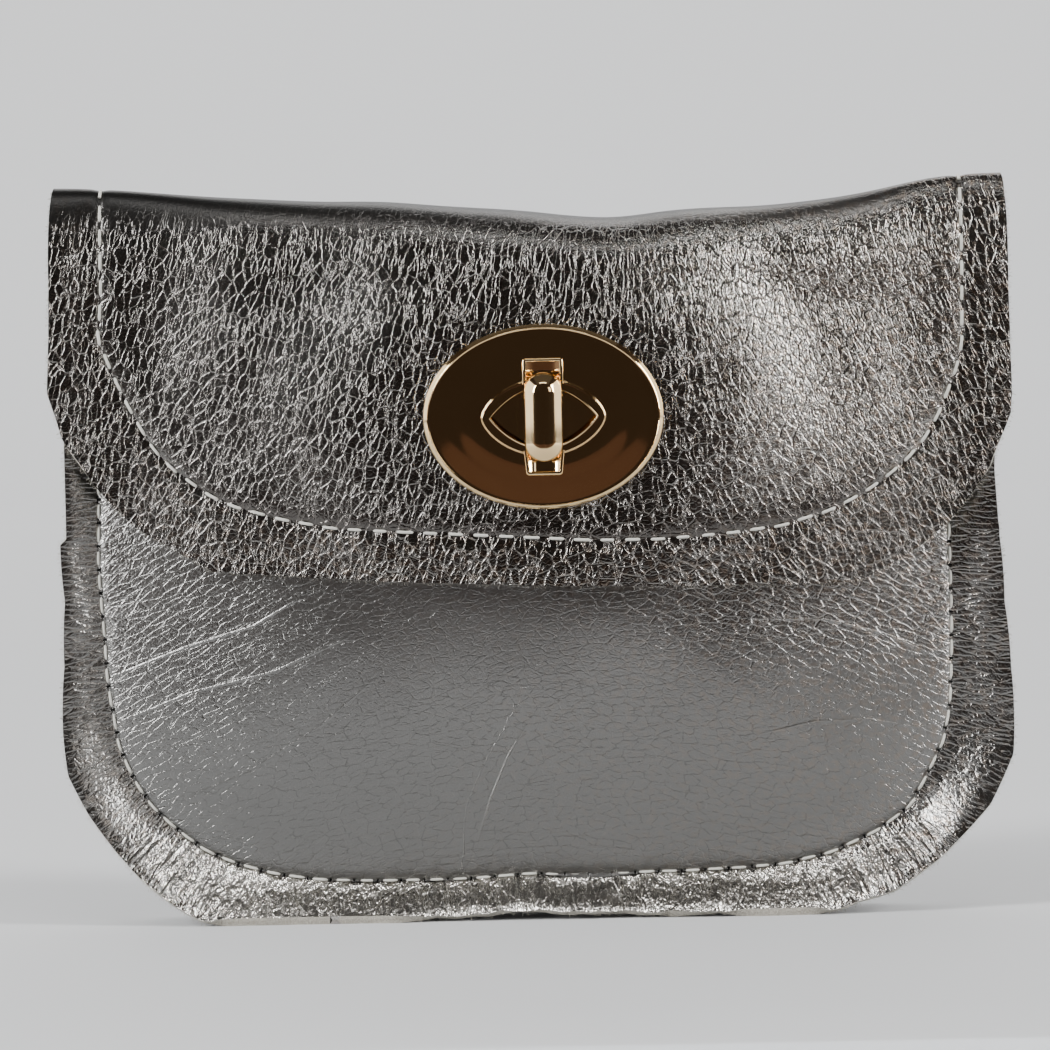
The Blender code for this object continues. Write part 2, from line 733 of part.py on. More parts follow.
def lock_plate_mesh():
    """The plate's closed section carried round its outline."""
    shape = bmesh.new()
    sides, corners = PLATE_SIDES, len(PLATE_SECTION_SHARES)
    bmesh.ops.create_grid(shape, x_segments=sides, y_segments=corners, size=0.5)
    for corner in shape.verts:
        turn = 2 * math.pi * (corner.co.x + 0.5)
        step = round((corner.co.y + 0.5) * corners) % corners
        share, height = PLATE_SECTION_SHARES[step]
        across, up = plate_ring(turn, share)
        corner.co = (across, up, height * PLATE_RISE)
    return mesh_from("lock_plate", shape)


def screw_place():
    return FLAP_HOLE_WIDTH / 2 + BACKING_LAND / 2


def lock_plate(parts, cutters, finishes):
    """The domed plate with its collar, the two seats for the bar's ends, and a post for each screw."""
    gold = finishes["gold"]
    plate = face_forward(add_object("lock_plate", lock_plate_mesh(), parts, gold), 0, PLATE_BACK, 0)
    front = COLLAR_FRONT + SEAT_WALL / 2
    root = PLATE_BACK + PLATE_RISE * SEAT_ROOT_SHARE
    inner_end = OPENING_HEIGHT / 2 + COLLAR_WIDTH / 2
    length = SEAT_REACH - inner_end
    for side in (-1, 1):
        seat = block("seat_joiner", (SEAT_WIDTH, length, front - root), cutters, gold)
        face_forward(seat, 0, (front + root) / 2, side * (inner_end + length / 2))
        combine(plate, seat, "UNION")
        hollow_size = (SEAT_WIDTH - 2 * SEAT_WALL, length - SEAT_WALL + CUT_OVERRUN, SEAT_WALL + CUT_OVERRUN)
        hollow = block("seat_cutter", hollow_size, cutters, gold)
        middle = SEAT_REACH - SEAT_WALL - hollow_size[1] / 2
        face_forward(hollow, 0, front - SEAT_WALL + hollow_size[2] / 2, side * middle)
        combine(plate, hollow, "DIFFERENCE")
        post_radius = SCREW_RADIUS + POST_WALL
        post_profile = rod_profile(post_radius, PLATE_RISE * POST_ROOT_SHARE, -POST_DEPTH)
        post = turned("post_joiner", post_profile, cutters, gold)
        face_forward(post, side * screw_place(), PLATE_BACK, 0)
        combine(plate, post, "UNION")
        bore_top, bore_bottom = PLATE_RISE * POST_BORE_SHARE, -POST_DEPTH - CUT_OVERRUN
        bore = rod_profile(SCREW_RADIUS + METAL_GAP, bore_top, bore_bottom)
        cutter = turned("post_bore_cutter", bore, cutters, gold)
        face_forward(cutter, side * screw_place(), PLATE_BACK, 0)
        combine(plate, cutter, "DIFFERENCE")
    return plate


def lock_backing(parts, cutters, finishes):
    """The oval ring under the flap and the two countersunk screws that hold it to the plate."""
    hole = (FLAP_HOLE_WIDTH, FLAP_HOLE_HEIGHT)
    outer = (FLAP_HOLE_WIDTH + 2 * BACKING_LAND, FLAP_HOLE_HEIGHT + 2 * BACKING_LAND)
    rings = [ellipse_outline(*outer), ellipse_outline(*hole)]
    ring = flat_plate("lock_backing_plate", rings, BACKING_SHEET, parts, finishes["steel"])
    made = [face_forward(ring, 0, LAY_GAP + BACKING_SHEET / 2, 0)]
    end = PLATE_BACK + PLATE_RISE * POST_BORE_SHARE - METAL_GAP
    for side, word in ((-1, "left"), (1, "right")):
        profile = [
            (0, end),
            (SCREW_RADIUS, end),
            (SCREW_RADIUS, BACKING_FRONT),
            (SCREW_HEAD_RADIUS, LAY_GAP),
            (0, LAY_GAP),
        ]
        screw = turned("lock_screw_" + word, profile, parts, finishes["steel"])
        made.append(face_forward(screw, side * screw_place(), 0, 0))
        slope = (SCREW_HEAD_RADIUS - SCREW_RADIUS) / BACKING_SHEET * CUT_OVERRUN
        sink = [
            (0, BACKING_FRONT + CUT_OVERRUN),
            (SCREW_RADIUS + METAL_GAP, BACKING_FRONT + CUT_OVERRUN),
            (SCREW_RADIUS + METAL_GAP, BACKING_FRONT),
            (SCREW_HEAD_RADIUS + METAL_GAP + slope, LAY_GAP - CUT_OVERRUN),
            (0, LAY_GAP - CUT_OVERRUN),
        ]
        cutter = turned("sink_cutter", sink, cutters, finishes["steel"])
        combine(ring, face_forward(cutter, side * screw_place(), 0, 0), "DIFFERENCE")
    return made


def flap_cutters(cutters, finish):
    """The oval hole and the two screw holes through the flap's layers."""
    long = PLATE_BACK + 2 * CUT_OVERRUN
    outline = ellipse_outline(FLAP_HOLE_WIDTH, FLAP_HOLE_HEIGHT)
    oval = flat_plate("flap_hole_cutter", [outline], long, cutters, finish)
    made = [face_forward(oval, 0, PLATE_BACK / 2, 0)]
    radius = SCREW_RADIUS + POST_WALL + LAY_GAP
    for side in (-1, 1):
        hole = turned("post_hole_cutter", rod_profile(radius, long / 2, -long / 2), cutters, finish)
        made.append(face_forward(hole, side * screw_place(), PLATE_BACK / 2, 0))
    return made


def empty(name, location, collection):
    made = bpy.data.objects.new(name, None)
    made.location = location
    made.empty_display_size = AXIS_MARK
    collection.objects.link(made)
    return made


def hang_on(parent, names):
    bpy.context.view_layer.update()
    for name in names:
        piece = bpy.data.objects[name]
        piece.parent = parent
        piece.matrix_parent_inverse = parent.matrix_world.inverted()


def new_collection(name):
    made = bpy.data.collections.new(name)
    bpy.context.scene.collection.children.link(made)
    return made


def main():
    for old in list(bpy.data.objects):
        bpy.data.objects.remove(old)
    parts, cutters = new_collection("turnlock_purse"), new_collection("cutters")
    finishes = {
        "leather": material("pewter_leather", (0.46, 0.46, 0.47), 0.85, 0.34),
        "lining": material("grey_suede", (0.32, 0.31, 0.30), 0.0, 0.9),
        "thread": material("pale_thread", (0.68, 0.67, 0.61), 0.0, 0.7),
        "gold": material("polished_gold", (0.83, 0.60, 0.30), 1.0, 0.12),
        "steel": material("bright_steel", (0.62, 0.61, 0.58), 1.0, 0.3),
    }
    body = leather_body(parts, finishes)
    flap = leather_flap(parts, finishes)
    for cutter in base_cutters(cutters, finishes["steel"]):
        combine(body["front_panel"], cutter, "DIFFERENCE")
        combine(body["front_lining"], cutter, "DIFFERENCE")
    for cutter in flap_cutters(cutters, finishes["steel"]):
        combine(flap["flap_panel"], cutter, "DIFFERENCE")
        combine(flap["flap_lining"], cutter, "DIFFERENCE")
    turn_base(parts, cutters, finishes)
    base_washer(parts, finishes)
    stem_rings(parts, finishes)
    turn_bar(parts, cutters, finishes)
    lock_plate(parts, cutters, finishes)
    lock_backing(parts, cutters, finishes)
    fold = empty("fold_axis", (0, MIDDLE_Y + HINGE_DEPTH, FOLD_HEIGHT), parts)
    turn = empty("bar_axis", (LOCK_X, lock_y(BAR_BACK), LOCK_HEIGHT), parts)
    hang_on(fold, FLAP_PIECES)
    hang_on(turn, BAR_PIECES)


main()
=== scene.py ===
"""Looks of a small turnlock purse in metallic pebbled leather, standing upright with its front towards -Y.

The file is laid out as a Blender add-on and run as a script. Every leather piece starts as a grid of points
on the middle of its sheet. The shape functions below give that grid in the frame of the CAD model, with
tables in millimetres for the outlines that are cut and sewn by hand.
"""

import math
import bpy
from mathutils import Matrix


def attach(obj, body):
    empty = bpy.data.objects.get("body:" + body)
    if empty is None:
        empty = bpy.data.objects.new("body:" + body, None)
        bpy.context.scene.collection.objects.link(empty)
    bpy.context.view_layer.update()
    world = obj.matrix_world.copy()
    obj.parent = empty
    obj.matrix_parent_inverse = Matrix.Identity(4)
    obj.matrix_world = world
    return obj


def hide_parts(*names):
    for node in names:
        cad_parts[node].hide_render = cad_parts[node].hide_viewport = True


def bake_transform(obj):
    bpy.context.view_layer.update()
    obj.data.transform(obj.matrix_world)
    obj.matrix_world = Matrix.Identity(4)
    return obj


bl_info = {
    "name": "Turnlock Purse Looks",
    "version": (1, 0, 0),
    "blender": (4, 5, 0),
    "location": "3D View > Sidebar > Purse",
    "description": "Dresses the turnlock purse: leather skins, linings, stitches, lock and studio",
    "category": "Object",
}

import bmesh
import bpy
import numpy as np
from bpy.props import FloatProperty, FloatVectorProperty, IntProperty, PointerProperty
from mathutils import Matrix, Vector
from mathutils.kdtree import KDTree

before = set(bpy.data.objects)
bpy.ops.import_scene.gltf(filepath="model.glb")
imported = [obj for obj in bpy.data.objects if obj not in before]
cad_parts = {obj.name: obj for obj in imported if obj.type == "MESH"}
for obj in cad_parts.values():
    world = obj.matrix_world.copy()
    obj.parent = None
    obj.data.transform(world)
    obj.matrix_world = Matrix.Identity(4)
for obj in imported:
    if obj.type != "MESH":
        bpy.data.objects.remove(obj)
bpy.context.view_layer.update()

MM = 0.001

# Layers of the purse, as in the CAD model
LEATHER = 1.1 * MM
LINING = 0.6 * MM
LAY_GAP = 0.3 * MM
MIDDLE_Y = 4.391 * MM
PANEL_STACK = LAY_GAP / 2 + LINING + LAY_GAP + LEATHER
FLAP_MIDDLE = LINING + LAY_GAP + LEATHER / 2
MOUTH = 92 * MM
FOLD = 99.85 * MM
SEAM_HALF = 61.5 * MM
EDGE_HALF = 67.5 * MM
SEAM_TURN = 55 * MM
SEAM_LOW = 6 * MM
SQUARENESS = 4.4
FRONT_PUFF = 9 * MM
BACK_PUFF = 8 * MM
TAPER = 0.25
BRIDGE = 1.2 * MM
FLAP_LIFT = 0.8 * MM
FLAP_SAG = 0.7 * MM
CROWN_RISE = 5.8 * MM
LOCK_X = 1.3 * MM
LOCK_Z = 72.7 * MM
PLATE_HALF = (17 * MM, 13.1 * MM)
PAD_EDGE, PAD_FADE = 1.15, 2.5

# How the margins outside the seam lean: at the sides, at the bottom
FRONT_LEAN = (1.8 * MM, 6.5 * MM)
BACK_LEAN = (0.0, 3.0 * MM)

# Outlines as cut and sewn: (x, z) in millimetres, from the top left, round the bottom, to the top right
BODY_EDGE = (
    (-67.6, 100), (-67.6, 56.3), (-68, 46.8), (-68.3, 37.4), (-68.7, 27.9), (-68.1, 21.8), (-65.2, 16),
    (-61.4, 10.8), (-57.5, 6.4), (-53.2, 3), (-49.4, 0.8), (-46.8, 0), (-37.3, 0), (-20.5, 0), (-15.5, 0.8),
    (-6, 1.2), (-1.5, 1.4), (11.6, 1.1), (25.1, 0.6), (39.6, 0.2), (43.5, 1.0), (45.6, 1.9), (50.8, 3.2),
    (57.3, 7.7), (61.2, 11.4), (64.7, 15.2), (68.1, 22.3), (68.3, 25.3), (68, 34.8), (67.2, 44.2),
    (66.6, 53.7), (66, 63.2), (66.6, 92), (67.4, 100),
)
BODY_SEAM = (
    (-61.6, 100), (-62.2, 80), (-62.8, 63.3), (-63.1, 51.4), (-62.5, 42), (-62.2, 34.9), (-60.7, 25.4),
    (-58.7, 20.6), (-55.9, 16.4), (-52.7, 13.4), (-49, 10.5), (-44.3, 8.3), (-38.2, 6.6), (-32.1, 5.7),
    (-20.4, 5.4), (-8, 5.6), (-1.5, 6), (16.1, 6), (23.9, 6.1), (35.1, 6.8), (41.7, 8.3), (48.4, 11.3),
    (53.2, 14.7), (56.1, 19.9), (58.1, 24.1), (59.2, 29.3), (59.6, 39.6), (59.5, 49.1), (59.4, 54.8),
    (60.2, 75), (61.6, 100),
)
FLAP_LEFT = (
    (-67.6, 99.85), (-68.9, 95.3), (-69.2, 84.6), (-69.6, 77), (-68.5, 73.6), (-67.6, 70.3), (-66.6, 68.6),
    (-63, 63.3), (-60.5, 60.5), (-57, 57.2), (-51.6, 54.2), (-46.2, 51.1),
)
FLAP_RIGHT = (
    (68, 99.85), (68.1, 87.8), (68.4, 73.5), (68.2, 70.7), (67.2, 68.1), (65.7, 64.6), (65.2, 63.2),
    (63, 60.2), (59.2, 55.9), (54.9, 52.7), (50.8, 50.4), (47, 48.6), (44.4, 47.9),
)
FLAP_SEAM = (
    (-61.6, 92), (-62.1, 84.5), (-60.3, 79.7), (-57.5, 73.9), (-54.7, 69.1), (-51.5, 65.7), (-46.7, 62.2),
    (-43, 60.5), (-36.8, 58.7), (-28.7, 57.3), (-19.2, 56.7), (-9.7, 56.1), (-1.6, 55.6), (7.9, 55),
    (17.4, 55), (27, 55.6), (34.6, 56.4), (41.3, 58.2), (46.2, 60.4), (50, 62.8), (54.9, 67), (57.8, 71.7),
    (60.3, 77.4), (61.4, 82.1), (61.5, 92),
)
# Rise of the fold over its lowest place, as a share, at shares of the half width
CROWN = (
    (-1, 1), (-0.9, 0.96), (-0.68, 0.72), (-0.44, 0.54), (-0.31, 0.53), (-0.2, 0.4), (0, 0.22),
    (0.09, 0.07), (0.19, 0.0), (0.27, 0.15), (0.36, 0.22), (0.48, 0.23), (0.56, 0.3), (0.66, 0.42),
    (0.73, 0.56), (0.83, 0.82), (0.9, 0.93), (1, 0.95),
)

# Grid of a leather sheet: rings inside the seam, rings in the margin, rows above the seam's turn
POCKET_RINGS = 70
MARGIN_RINGS = 14
RINGS = POCKET_RINGS + MARGIN_RINGS
RING_CROWDING = 1.3
FRONT_ROWS = 44
BACK_ROWS = 50
ROLL_ROWS = 40
HANG_ROWS = 66
BACK_TOP = 96.5 * MM

# The back skin ends and the flap skin begins on this row of the fold, just behind the line the flap turns on.
CUT_ROW = 6
TURN_LOW, TURN_TOP = 97.2 * MM, 99.8 * MM

# The linings end inside the raw edges: at this share of the margin, and at this height on the back
LINING_TRIM = 0.33
BACK_LINING_TOP = 95 * MM

# Half width and half height of the ovals cut in the leather behind the lock
FRONT_HOLE = (8.6 * MM, 5.3 * MM)
FLAP_HOLE = (11 * MM, 7.7 * MM)

# How deep the middle of the thread lies under the leather's face beside the seam
THREAD_SINK = 0.06 * MM
# Distance between the points of a seam's route
ROUTE_STEP = 0.3 * MM
# How many waves lie over each other in a rippled field
RIPPLE_WAVES = 14


def smooth(value):
    """0 below 0, 1 above 1, and an even rounded step between them."""
    value = np.clip(value, 0, 1)
    return value * value * (3 - 2 * value)


def table(rows):
    """Rows of numbers as an array."""
    return np.array(rows, float)


def seam_reach(x, z):
    """0 in the middle of the CAD pocket, 1 on its seam and more outside it."""
    down = np.maximum(0, SEAM_TURN - z) / (SEAM_TURN - SEAM_LOW)
    return ((np.abs(x) / SEAM_HALF) ** SQUARENESS + down**SQUARENESS) ** (1 / SQUARENESS)


def pad_weight(x, z):
    """1 where the lock presses the leather flat, fading to 0 away from it."""
    reach = np.hypot((x - LOCK_X) / PLATE_HALF[0], (z - LOCK_Z) / PLATE_HALF[1])
    return 1 - smooth((reach - PAD_EDGE) / (PAD_FADE - PAD_EDGE))


def front_puff(z, pocket):
    """How far the pocket's front swells forwards of its seam."""
    rise = np.clip((z - SEAM_TURN) / (MOUTH - SEAM_TURN), 0, 1)
    return FRONT_PUFF * np.maximum(0, 1 - pocket**2) * (1 - TAPER * rise**2)


# From the pocket's middle to the front panel's face under the lock
LOCK_DEPTH = PANEL_STACK + float(front_puff(LOCK_Z, seam_reach(LOCK_X, LOCK_Z)))


def margin_lean(z, margin, lean):
    """How far a raw margin leans outwards, most of all at the bottom."""
    side, bottom = lean
    low = np.clip((SEAM_TURN - z) / SEAM_TURN, 0, 1) ** 3
    return smooth(margin) * (side + (bottom - side) * low)


def front_bulge(x, z, pocket, margin):
    """The front's puff and lean together, pressed flat under the lock."""
    flat = pad_weight(x, z)
    puff = front_puff(z, pocket) * (1 - flat) + (LOCK_DEPTH - PANEL_STACK) * flat
    return puff + margin_lean(z, margin, FRONT_LEAN)


def back_bulge(z, pocket, margin):
    """The same of the back, which is flat above the pocket's mouth."""
    rise = (z - SEAM_TURN) / (MOUTH - SEAM_TURN)
    puff = BACK_PUFF * np.maximum(0, 1 - pocket**2) * (1 - smooth(rise))
    return puff + margin_lean(z, margin, BACK_LEAN)


def flap_depth(x, z):
    """Depth of the flap's rear face in front of the pocket's middle, over the valley of the seam."""
    reach = seam_reach(x, z)
    margin = np.clip((reach - 1) * SEAM_HALF / (EDGE_HALF - SEAM_HALF), 0, 1)
    bulge = front_bulge(x, z, np.minimum(reach, 1), margin)
    low = np.minimum(bulge, 2 * BRIDGE)
    bridged = np.where(bulge < 2 * BRIDGE, BRIDGE + low**2 / (4 * BRIDGE), bulge)
    return PANEL_STACK + bridged + LAY_GAP + FLAP_LIFT * pad_weight(x, z)


def ripples(x, z, size, seed):
    """An uneven field of gentle waves about this long, from -1 to 1 or so."""
    draw = np.random.default_rng(seed)
    total = np.zeros_like(x)
    for _ in range(RIPPLE_WAVES):
        turn = draw.uniform(0, 2 * math.pi)
        length = size * draw.uniform(0.7, 1.6)
        shift = draw.uniform(0, 7)
        total += np.sin(2 * math.pi * (x * math.cos(turn) + z * math.sin(turn)) / length + shift)
    return total / math.sqrt(RIPPLE_WAVES)


def ring_shares():
    """How far each ring of the grid is through the pocket, and then through the margin."""
    step = np.arange(RINGS + 1)
    pocket = 1 - (1 - np.minimum(step / POCKET_RINGS, 1)) ** RING_CROWDING
    return pocket, np.maximum(0, (step - POCKET_RINGS) / MARGIN_RINGS)


def column_shares():
    """The same for each column, from the left edge to the right."""
    pocket, margin = ring_shares()
    column = np.arange(-RINGS, RINGS + 1)
    return np.sign(column), pocket[np.abs(column)], margin[np.abs(column)]


def ray_lengths(outline, turn):
    """Distance from the seam's centre to an outline, at these turns from the right down to the left."""
    x, z = (table(outline) * MM).T
    turns = np.arctan2(SEAM_TURN - z, x)
    order = np.argsort(turns)
    return np.interp(turn, turns[order], np.hypot(x, SEAM_TURN - z)[order])


def side_lengths(outline, side, z):
    """Half width of an outline at a height, on the side of each column."""
    rows = table(outline) * MM
    left, right = rows[rows[:, 0] < 0], rows[rows[:, 0] > 0]
    left = left[np.argsort(left[:, 1])]
    right = right[np.argsort(right[:, 1])]
    return np.where(side < 0, -np.interp(z, left[:, 1], left[:, 0]), np.interp(z, right[:, 1], right[:, 0]))


def body_grid(top, rows_above, trim=1.0):
    """Points of a body panel, from its top row down: x, z and the shares of pocket and margin."""
    side, pocket, margin = column_shares()
    margin = margin * trim
    heights = np.linspace(top, SEAM_TURN, rows_above + 1)[:-1, None]
    seam = side_lengths(BODY_SEAM, side[None, :], heights)
    edge = side_lengths(BODY_EDGE, side[None, :], heights)
    upper_x = side * (seam * pocket + (edge - seam) * margin)
    upper_z = np.broadcast_to(heights, upper_x.shape)
    aside, down = np.meshgrid(np.arange(-RINGS, RINGS + 1), np.arange(RINGS + 1))
    ring = np.maximum(np.abs(aside), down)
    turn = np.arctan2((SEAM_TURN - SEAM_LOW) * down, SEAM_HALF * aside)
    ring_pocket, ring_margin = (share[ring] for share in ring_shares())
    ring_margin = ring_margin * trim
    seam, edge = ray_lengths(BODY_SEAM, turn), ray_lengths(BODY_EDGE, turn)
    reach = seam * ring_pocket + (edge - seam) * ring_margin
    lower_x, lower_z = reach * np.cos(turn), np.maximum(0, SEAM_TURN - reach * np.sin(turn))
    shares = [
        np.concatenate([np.broadcast_to(upper, upper_x.shape), lower])
        for upper, lower in ((pocket, ring_pocket), (margin, ring_margin))
    ]
    return np.concatenate([upper_x, lower_x]), np.concatenate([upper_z, lower_z]), *shares


def side_edge(outline, share, top):
    """x and z at these shares of the way down a side edge of the flap, no higher than the top."""
    rows = table(outline) * MM
    z = np.minimum(FOLD - share * (FOLD - rows[-1, 1]), top)
    return np.interp(-z, -rows[:, 1], rows[:, 0]), z


def flap_grid():
    """x and z of the hanging flap's points, from the end of the roll to its lower edge."""
    side, pocket, margin = column_shares()
    across = side * (pocket * SEAM_HALF + margin * (EDGE_HALF - SEAM_HALF)) / EDGE_HALF
    first = (FOLD - MOUTH) / (FOLD - FLAP_LEFT[-1][1] * MM)
    share = np.linspace(first, 1, HANG_ROWS)[:, None]
    left_x, left_z = side_edge(FLAP_LEFT, share, MOUTH)
    right_x, right_z = side_edge(FLAP_RIGHT, share, FOLD)
    place = (across[None, :] + 1) / 2
    sag = FLAP_SAG * share**3 * (1 - across[None, :] ** 2)
    level = smooth((share - first) / (1 - first))
    z = left_z + (right_z - left_z) * place * level - sag * level
    return left_x + (right_x - left_x) * place, z


def flap_points(x, z):
    """Points in the middle of the flap's leather."""
    y = MIDDLE_Y - flap_depth(x, z) - FLAP_MIDDLE
    return np.stack([x, y, z], axis=-1)


def roll_points():
    """Points of the fold over the top, from the back's top row to the hanging flap's first row."""
    side, pocket, margin = column_shares()
    across = side * (pocket * SEAM_HALF + margin * (EDGE_HALF - SEAM_HALF))
    crown = table(CROWN)
    even = np.linspace(-1, 1, 401)
    curve = np.interp(even, crown[:, 0], crown[:, 1])
    window = np.hanning(41)
    curve = np.convolve(np.pad(curve, 20, mode="edge"), window / window.sum(), mode="valid")
    rise = CROWN_RISE * np.interp(across / EDGE_HALF, even, curve)
    hang_x = flap_grid()[0][0]
    back_x = body_grid(BACK_TOP, BACK_ROWS)[0][0]
    reach = flap_depth(hang_x, np.full_like(hang_x, MOUTH)) + FLAP_MIDDLE + PANEL_STACK - LEATHER / 2
    share = np.linspace(0, 1, ROLL_ROWS + 1)[1:-1, None]
    drop, start = FOLD - MOUTH, FOLD - BACK_TOP
    lift = (8 * rise + 4 * start + 4 * drop) / 3
    for _ in range(4):
        ends = (-start, -start + lift * 0.42, -drop + lift * 0.58, -drop + 0 * lift)
        height = cubic(ends, share)
        lift = lift + (rise - height.max(axis=0)) * 8 / 3
    back = cubic((0 * reach, 0.06 * reach, -1.04 * reach, -reach), share)
    x = back_x + (hang_x - back_x) * smooth(share)
    y = MIDDLE_Y + PANEL_STACK - LEATHER / 2 + back
    return np.stack([x, y, FOLD + height], axis=-1)


def cubic(ends, share):
    """A Bezier curve from its four control values."""
    a, b, c, d = ends
    rest = 1 - share
    return a * rest**3 + 3 * b * rest**2 * share + 3 * c * rest * share**2 + d * share**3


def grid_normals(points):
    """Normals of a grid that runs down in its rows and to the right in its columns: they point forwards."""
    down, across = np.gradient(points, axis=0), np.gradient(points, axis=1)
    normal = np.cross(down, across)
    return normal / np.maximum(np.linalg.norm(normal, axis=-1, keepdims=True), 1e-12)


def search_tree(places):
    """A tree that finds the nearest of some points."""
    tree = KDTree(len(places))
    for index, place in enumerate(places):
        tree.insert(place, index)
    tree.balance()
    return tree


def lengths_along(points):
    """How far each point of a polyline is from its start."""
    return np.concatenate([[0], np.cumsum(np.linalg.norm(np.diff(points, axis=0), axis=1))])


def seam_frame(points, route):
    """Along-seam and off-seam distance of every point, from the nearest place of a route on the sheet."""
    tree = search_tree(route)
    flat = points.reshape(-1, 3)
    nearest = np.array([tree.find(place)[1] for place in flat])
    step = np.gradient(route, axis=0)
    length = lengths_along(route)
    heading = step / np.linalg.norm(step, axis=1, keepdims=True)
    offset = flat - route[nearest]
    ahead = np.sum(offset * heading[nearest], axis=1)
    aside = np.linalg.norm(offset - ahead[:, None] * heading[nearest], axis=1)
    return (length[nearest] + ahead).reshape(points.shape[:2]), aside.reshape(points.shape[:2])


def resampled(points, step):
    """Evenly spaced points along a polyline."""
    length = lengths_along(points)
    places = np.linspace(0, length[-1], max(2, round(length[-1] / step) + 1))
    return np.stack([np.interp(places, length, points[:, axis]) for axis in range(3)], axis=-1)


def route_length(route):
    """Length of a polyline."""
    return float(np.linalg.norm(np.diff(route, axis=0), axis=1).sum())


class Value:
    """What a node gives, in a tree. Arithmetic on numbers adds Math nodes to the tree."""

    def __init__(self, maker, socket):
        self.maker, self.socket = maker, socket

    def math(self, operation, *others, swap=False):
        numbers = [*others, self] if swap else [self, *others]
        return self.maker.node("ShaderNodeMath", {"operation": operation}, dict(enumerate(numbers)))

    def __add__(self, other):
        return self.math("ADD", other)

    __radd__ = __add__

    def __sub__(self, other):
        return self.math("SUBTRACT", other)

    def __rsub__(self, other):
        return self.math("SUBTRACT", other, swap=True)

    def __mul__(self, other):
        return self.math("MULTIPLY", other)

    __rmul__ = __mul__

    def __truediv__(self, other):
        return self.math("DIVIDE", other)

    def __pow__(self, other):
        return self.math("POWER", other)

    def ramp(self, start, end):
        """0 at start and 1 at end, evenly rounded between them. Start may be above end."""
        settings = {"interpolation_type": "SMOOTHSTEP"}
        return self.maker.node("ShaderNodeMapRange", settings, {0: self, 1: start, 2: end})


class Maker:
    """Adds nodes to a tree and links them."""

    def __init__(self, tree):
        self.tree = tree

    def node(self, kind, settings=None, inputs=None, output=0):
        """A node of this kind. Its settings are made first, then its inputs: numbers, tuples or Values."""
        made = self.tree.nodes.new(kind)
        for name, setting in (settings or {}).items():
            setattr(made, name, setting)
        for name, value in (inputs or {}).items():
            if isinstance(value, Value):
                self.tree.links.new(value.socket, made.inputs[name])
            else:
                made.inputs[name].default_value = value
        return Value(self, made.outputs[output])

    def vector_math(self, operation, *vectors):
        return self.node("ShaderNodeVectorMath", {"operation": operation}, dict(enumerate(vectors)))

    def xyz(self, vector):
        split = self.node("ShaderNodeSeparateXYZ", inputs={0: vector})
        return [Value(self, socket) for socket in split.socket.node.outputs]

    def vector(self, x, y, z=0.0):
        return self.node("ShaderNodeCombineXYZ", inputs={0: x, 1: y, 2: z})

    def blend(self, factor, first, second):
        """Mixes two colours, each a Value or three numbers."""
        first, second = (one if isinstance(one, Value) else (*one, 1) for one in (first, second))
        return self.node("ShaderNodeMix", {"data_type": "RGBA"}, {0: factor, 6: first, 7: second}, output=2)

    def noise(self, vector, scale, detail=2.0, roughness=0.5):
        inputs = {"Vector": vector, "Scale": scale, "Detail": detail, "Roughness": roughness}
        return self.node("ShaderNodeTexNoise", inputs=inputs)

    def cells(self, vector):
        """Distance to the edge of irregular cells one unit across, in the first two coordinates."""
        settings = {"feature": "DISTANCE_TO_EDGE", "voronoi_dimensions": "2D"}
        inputs = {"Vector": vector, "Scale": 1.0, "Randomness": 1.0}
        return self.node("ShaderNodeTexVoronoi", settings, inputs)


class Finish(Maker):
    """A material: its Principled shader's steady values are set here, and its varying ones are linked."""

    def __init__(self, name, steady):
        self.material = bpy.data.materials.new(name)
        self.material.use_nodes = True
        super().__init__(self.material.node_tree)
        self.shader = self.tree.nodes["Principled BSDF"]
        for socket, value in steady.items():
            self.shader.inputs[socket].default_value = value

    def attribute(self, name, output="Vector"):
        made = self.node("ShaderNodeAttribute", {"attribute_name": name})
        return Value(self, made.socket.node.outputs[output])

    def place(self):
        """The point's own place in the piece, in metres."""
        made = self.node("ShaderNodeTexCoord")
        return Value(self, made.socket.node.outputs["Object"])

    def drive(self, socket, value):
        self.tree.links.new(value.socket, self.shader.inputs[socket])

    def bump(self, height):
        """Relief in metres, which turns the surface's normal."""
        made = self.node("ShaderNodeBump", inputs={"Strength": 1.0, "Distance": 1.0, "Height": height})
        self.drive("Normal", made)
        return self.material


def creases(maker, place, cell, width, warp_size, warp):
    """A network of creases round pebbles of this size: 1 in the bottom of a crease and 0 on a pebble."""
    shift = maker.noise(place, 1 / warp_size, 4.0, 0.6)
    shift = Value(maker, shift.socket.node.outputs["Color"])
    moved = maker.vector_math("SUBTRACT", shift, (0.5, 0.5, 0.5))
    moved = maker.vector_math("MULTIPLY", moved, (warp, warp, 0))
    place = maker.vector_math("ADD", place, moved)
    edge = maker.cells(maker.vector_math("MULTIPLY", place, (1 / cell[0], 1 / cell[1], 0)))
    return edge.ramp(width, 0.0)


# Colours of the foil: painted shade on the flap, painted shade on the fold's smooth roll, painted shade low on
# the pocket, painted light, painted shade in creases and in the flap's low seam, cracked, and painted shade in
# needle holes
DARK_FOIL = (0.1, 0.094, 0.086)
ROLL_PAINTED_SHADE = (0.03, 0.03, 0.03)
POCKET_PAINTED_SHADE = (0.14, 0.14, 0.135)
PAINTED_LIGHT_FOIL = (0.62, 0.6, 0.56)
FLAP_PAINTED_SHADE = (0.07, 0.06, 0.055)
CRACKED_FOIL = (0.1, 0.1, 0.095)
NEEDLE_HOLE = (0.01, 0.01, 0.01)


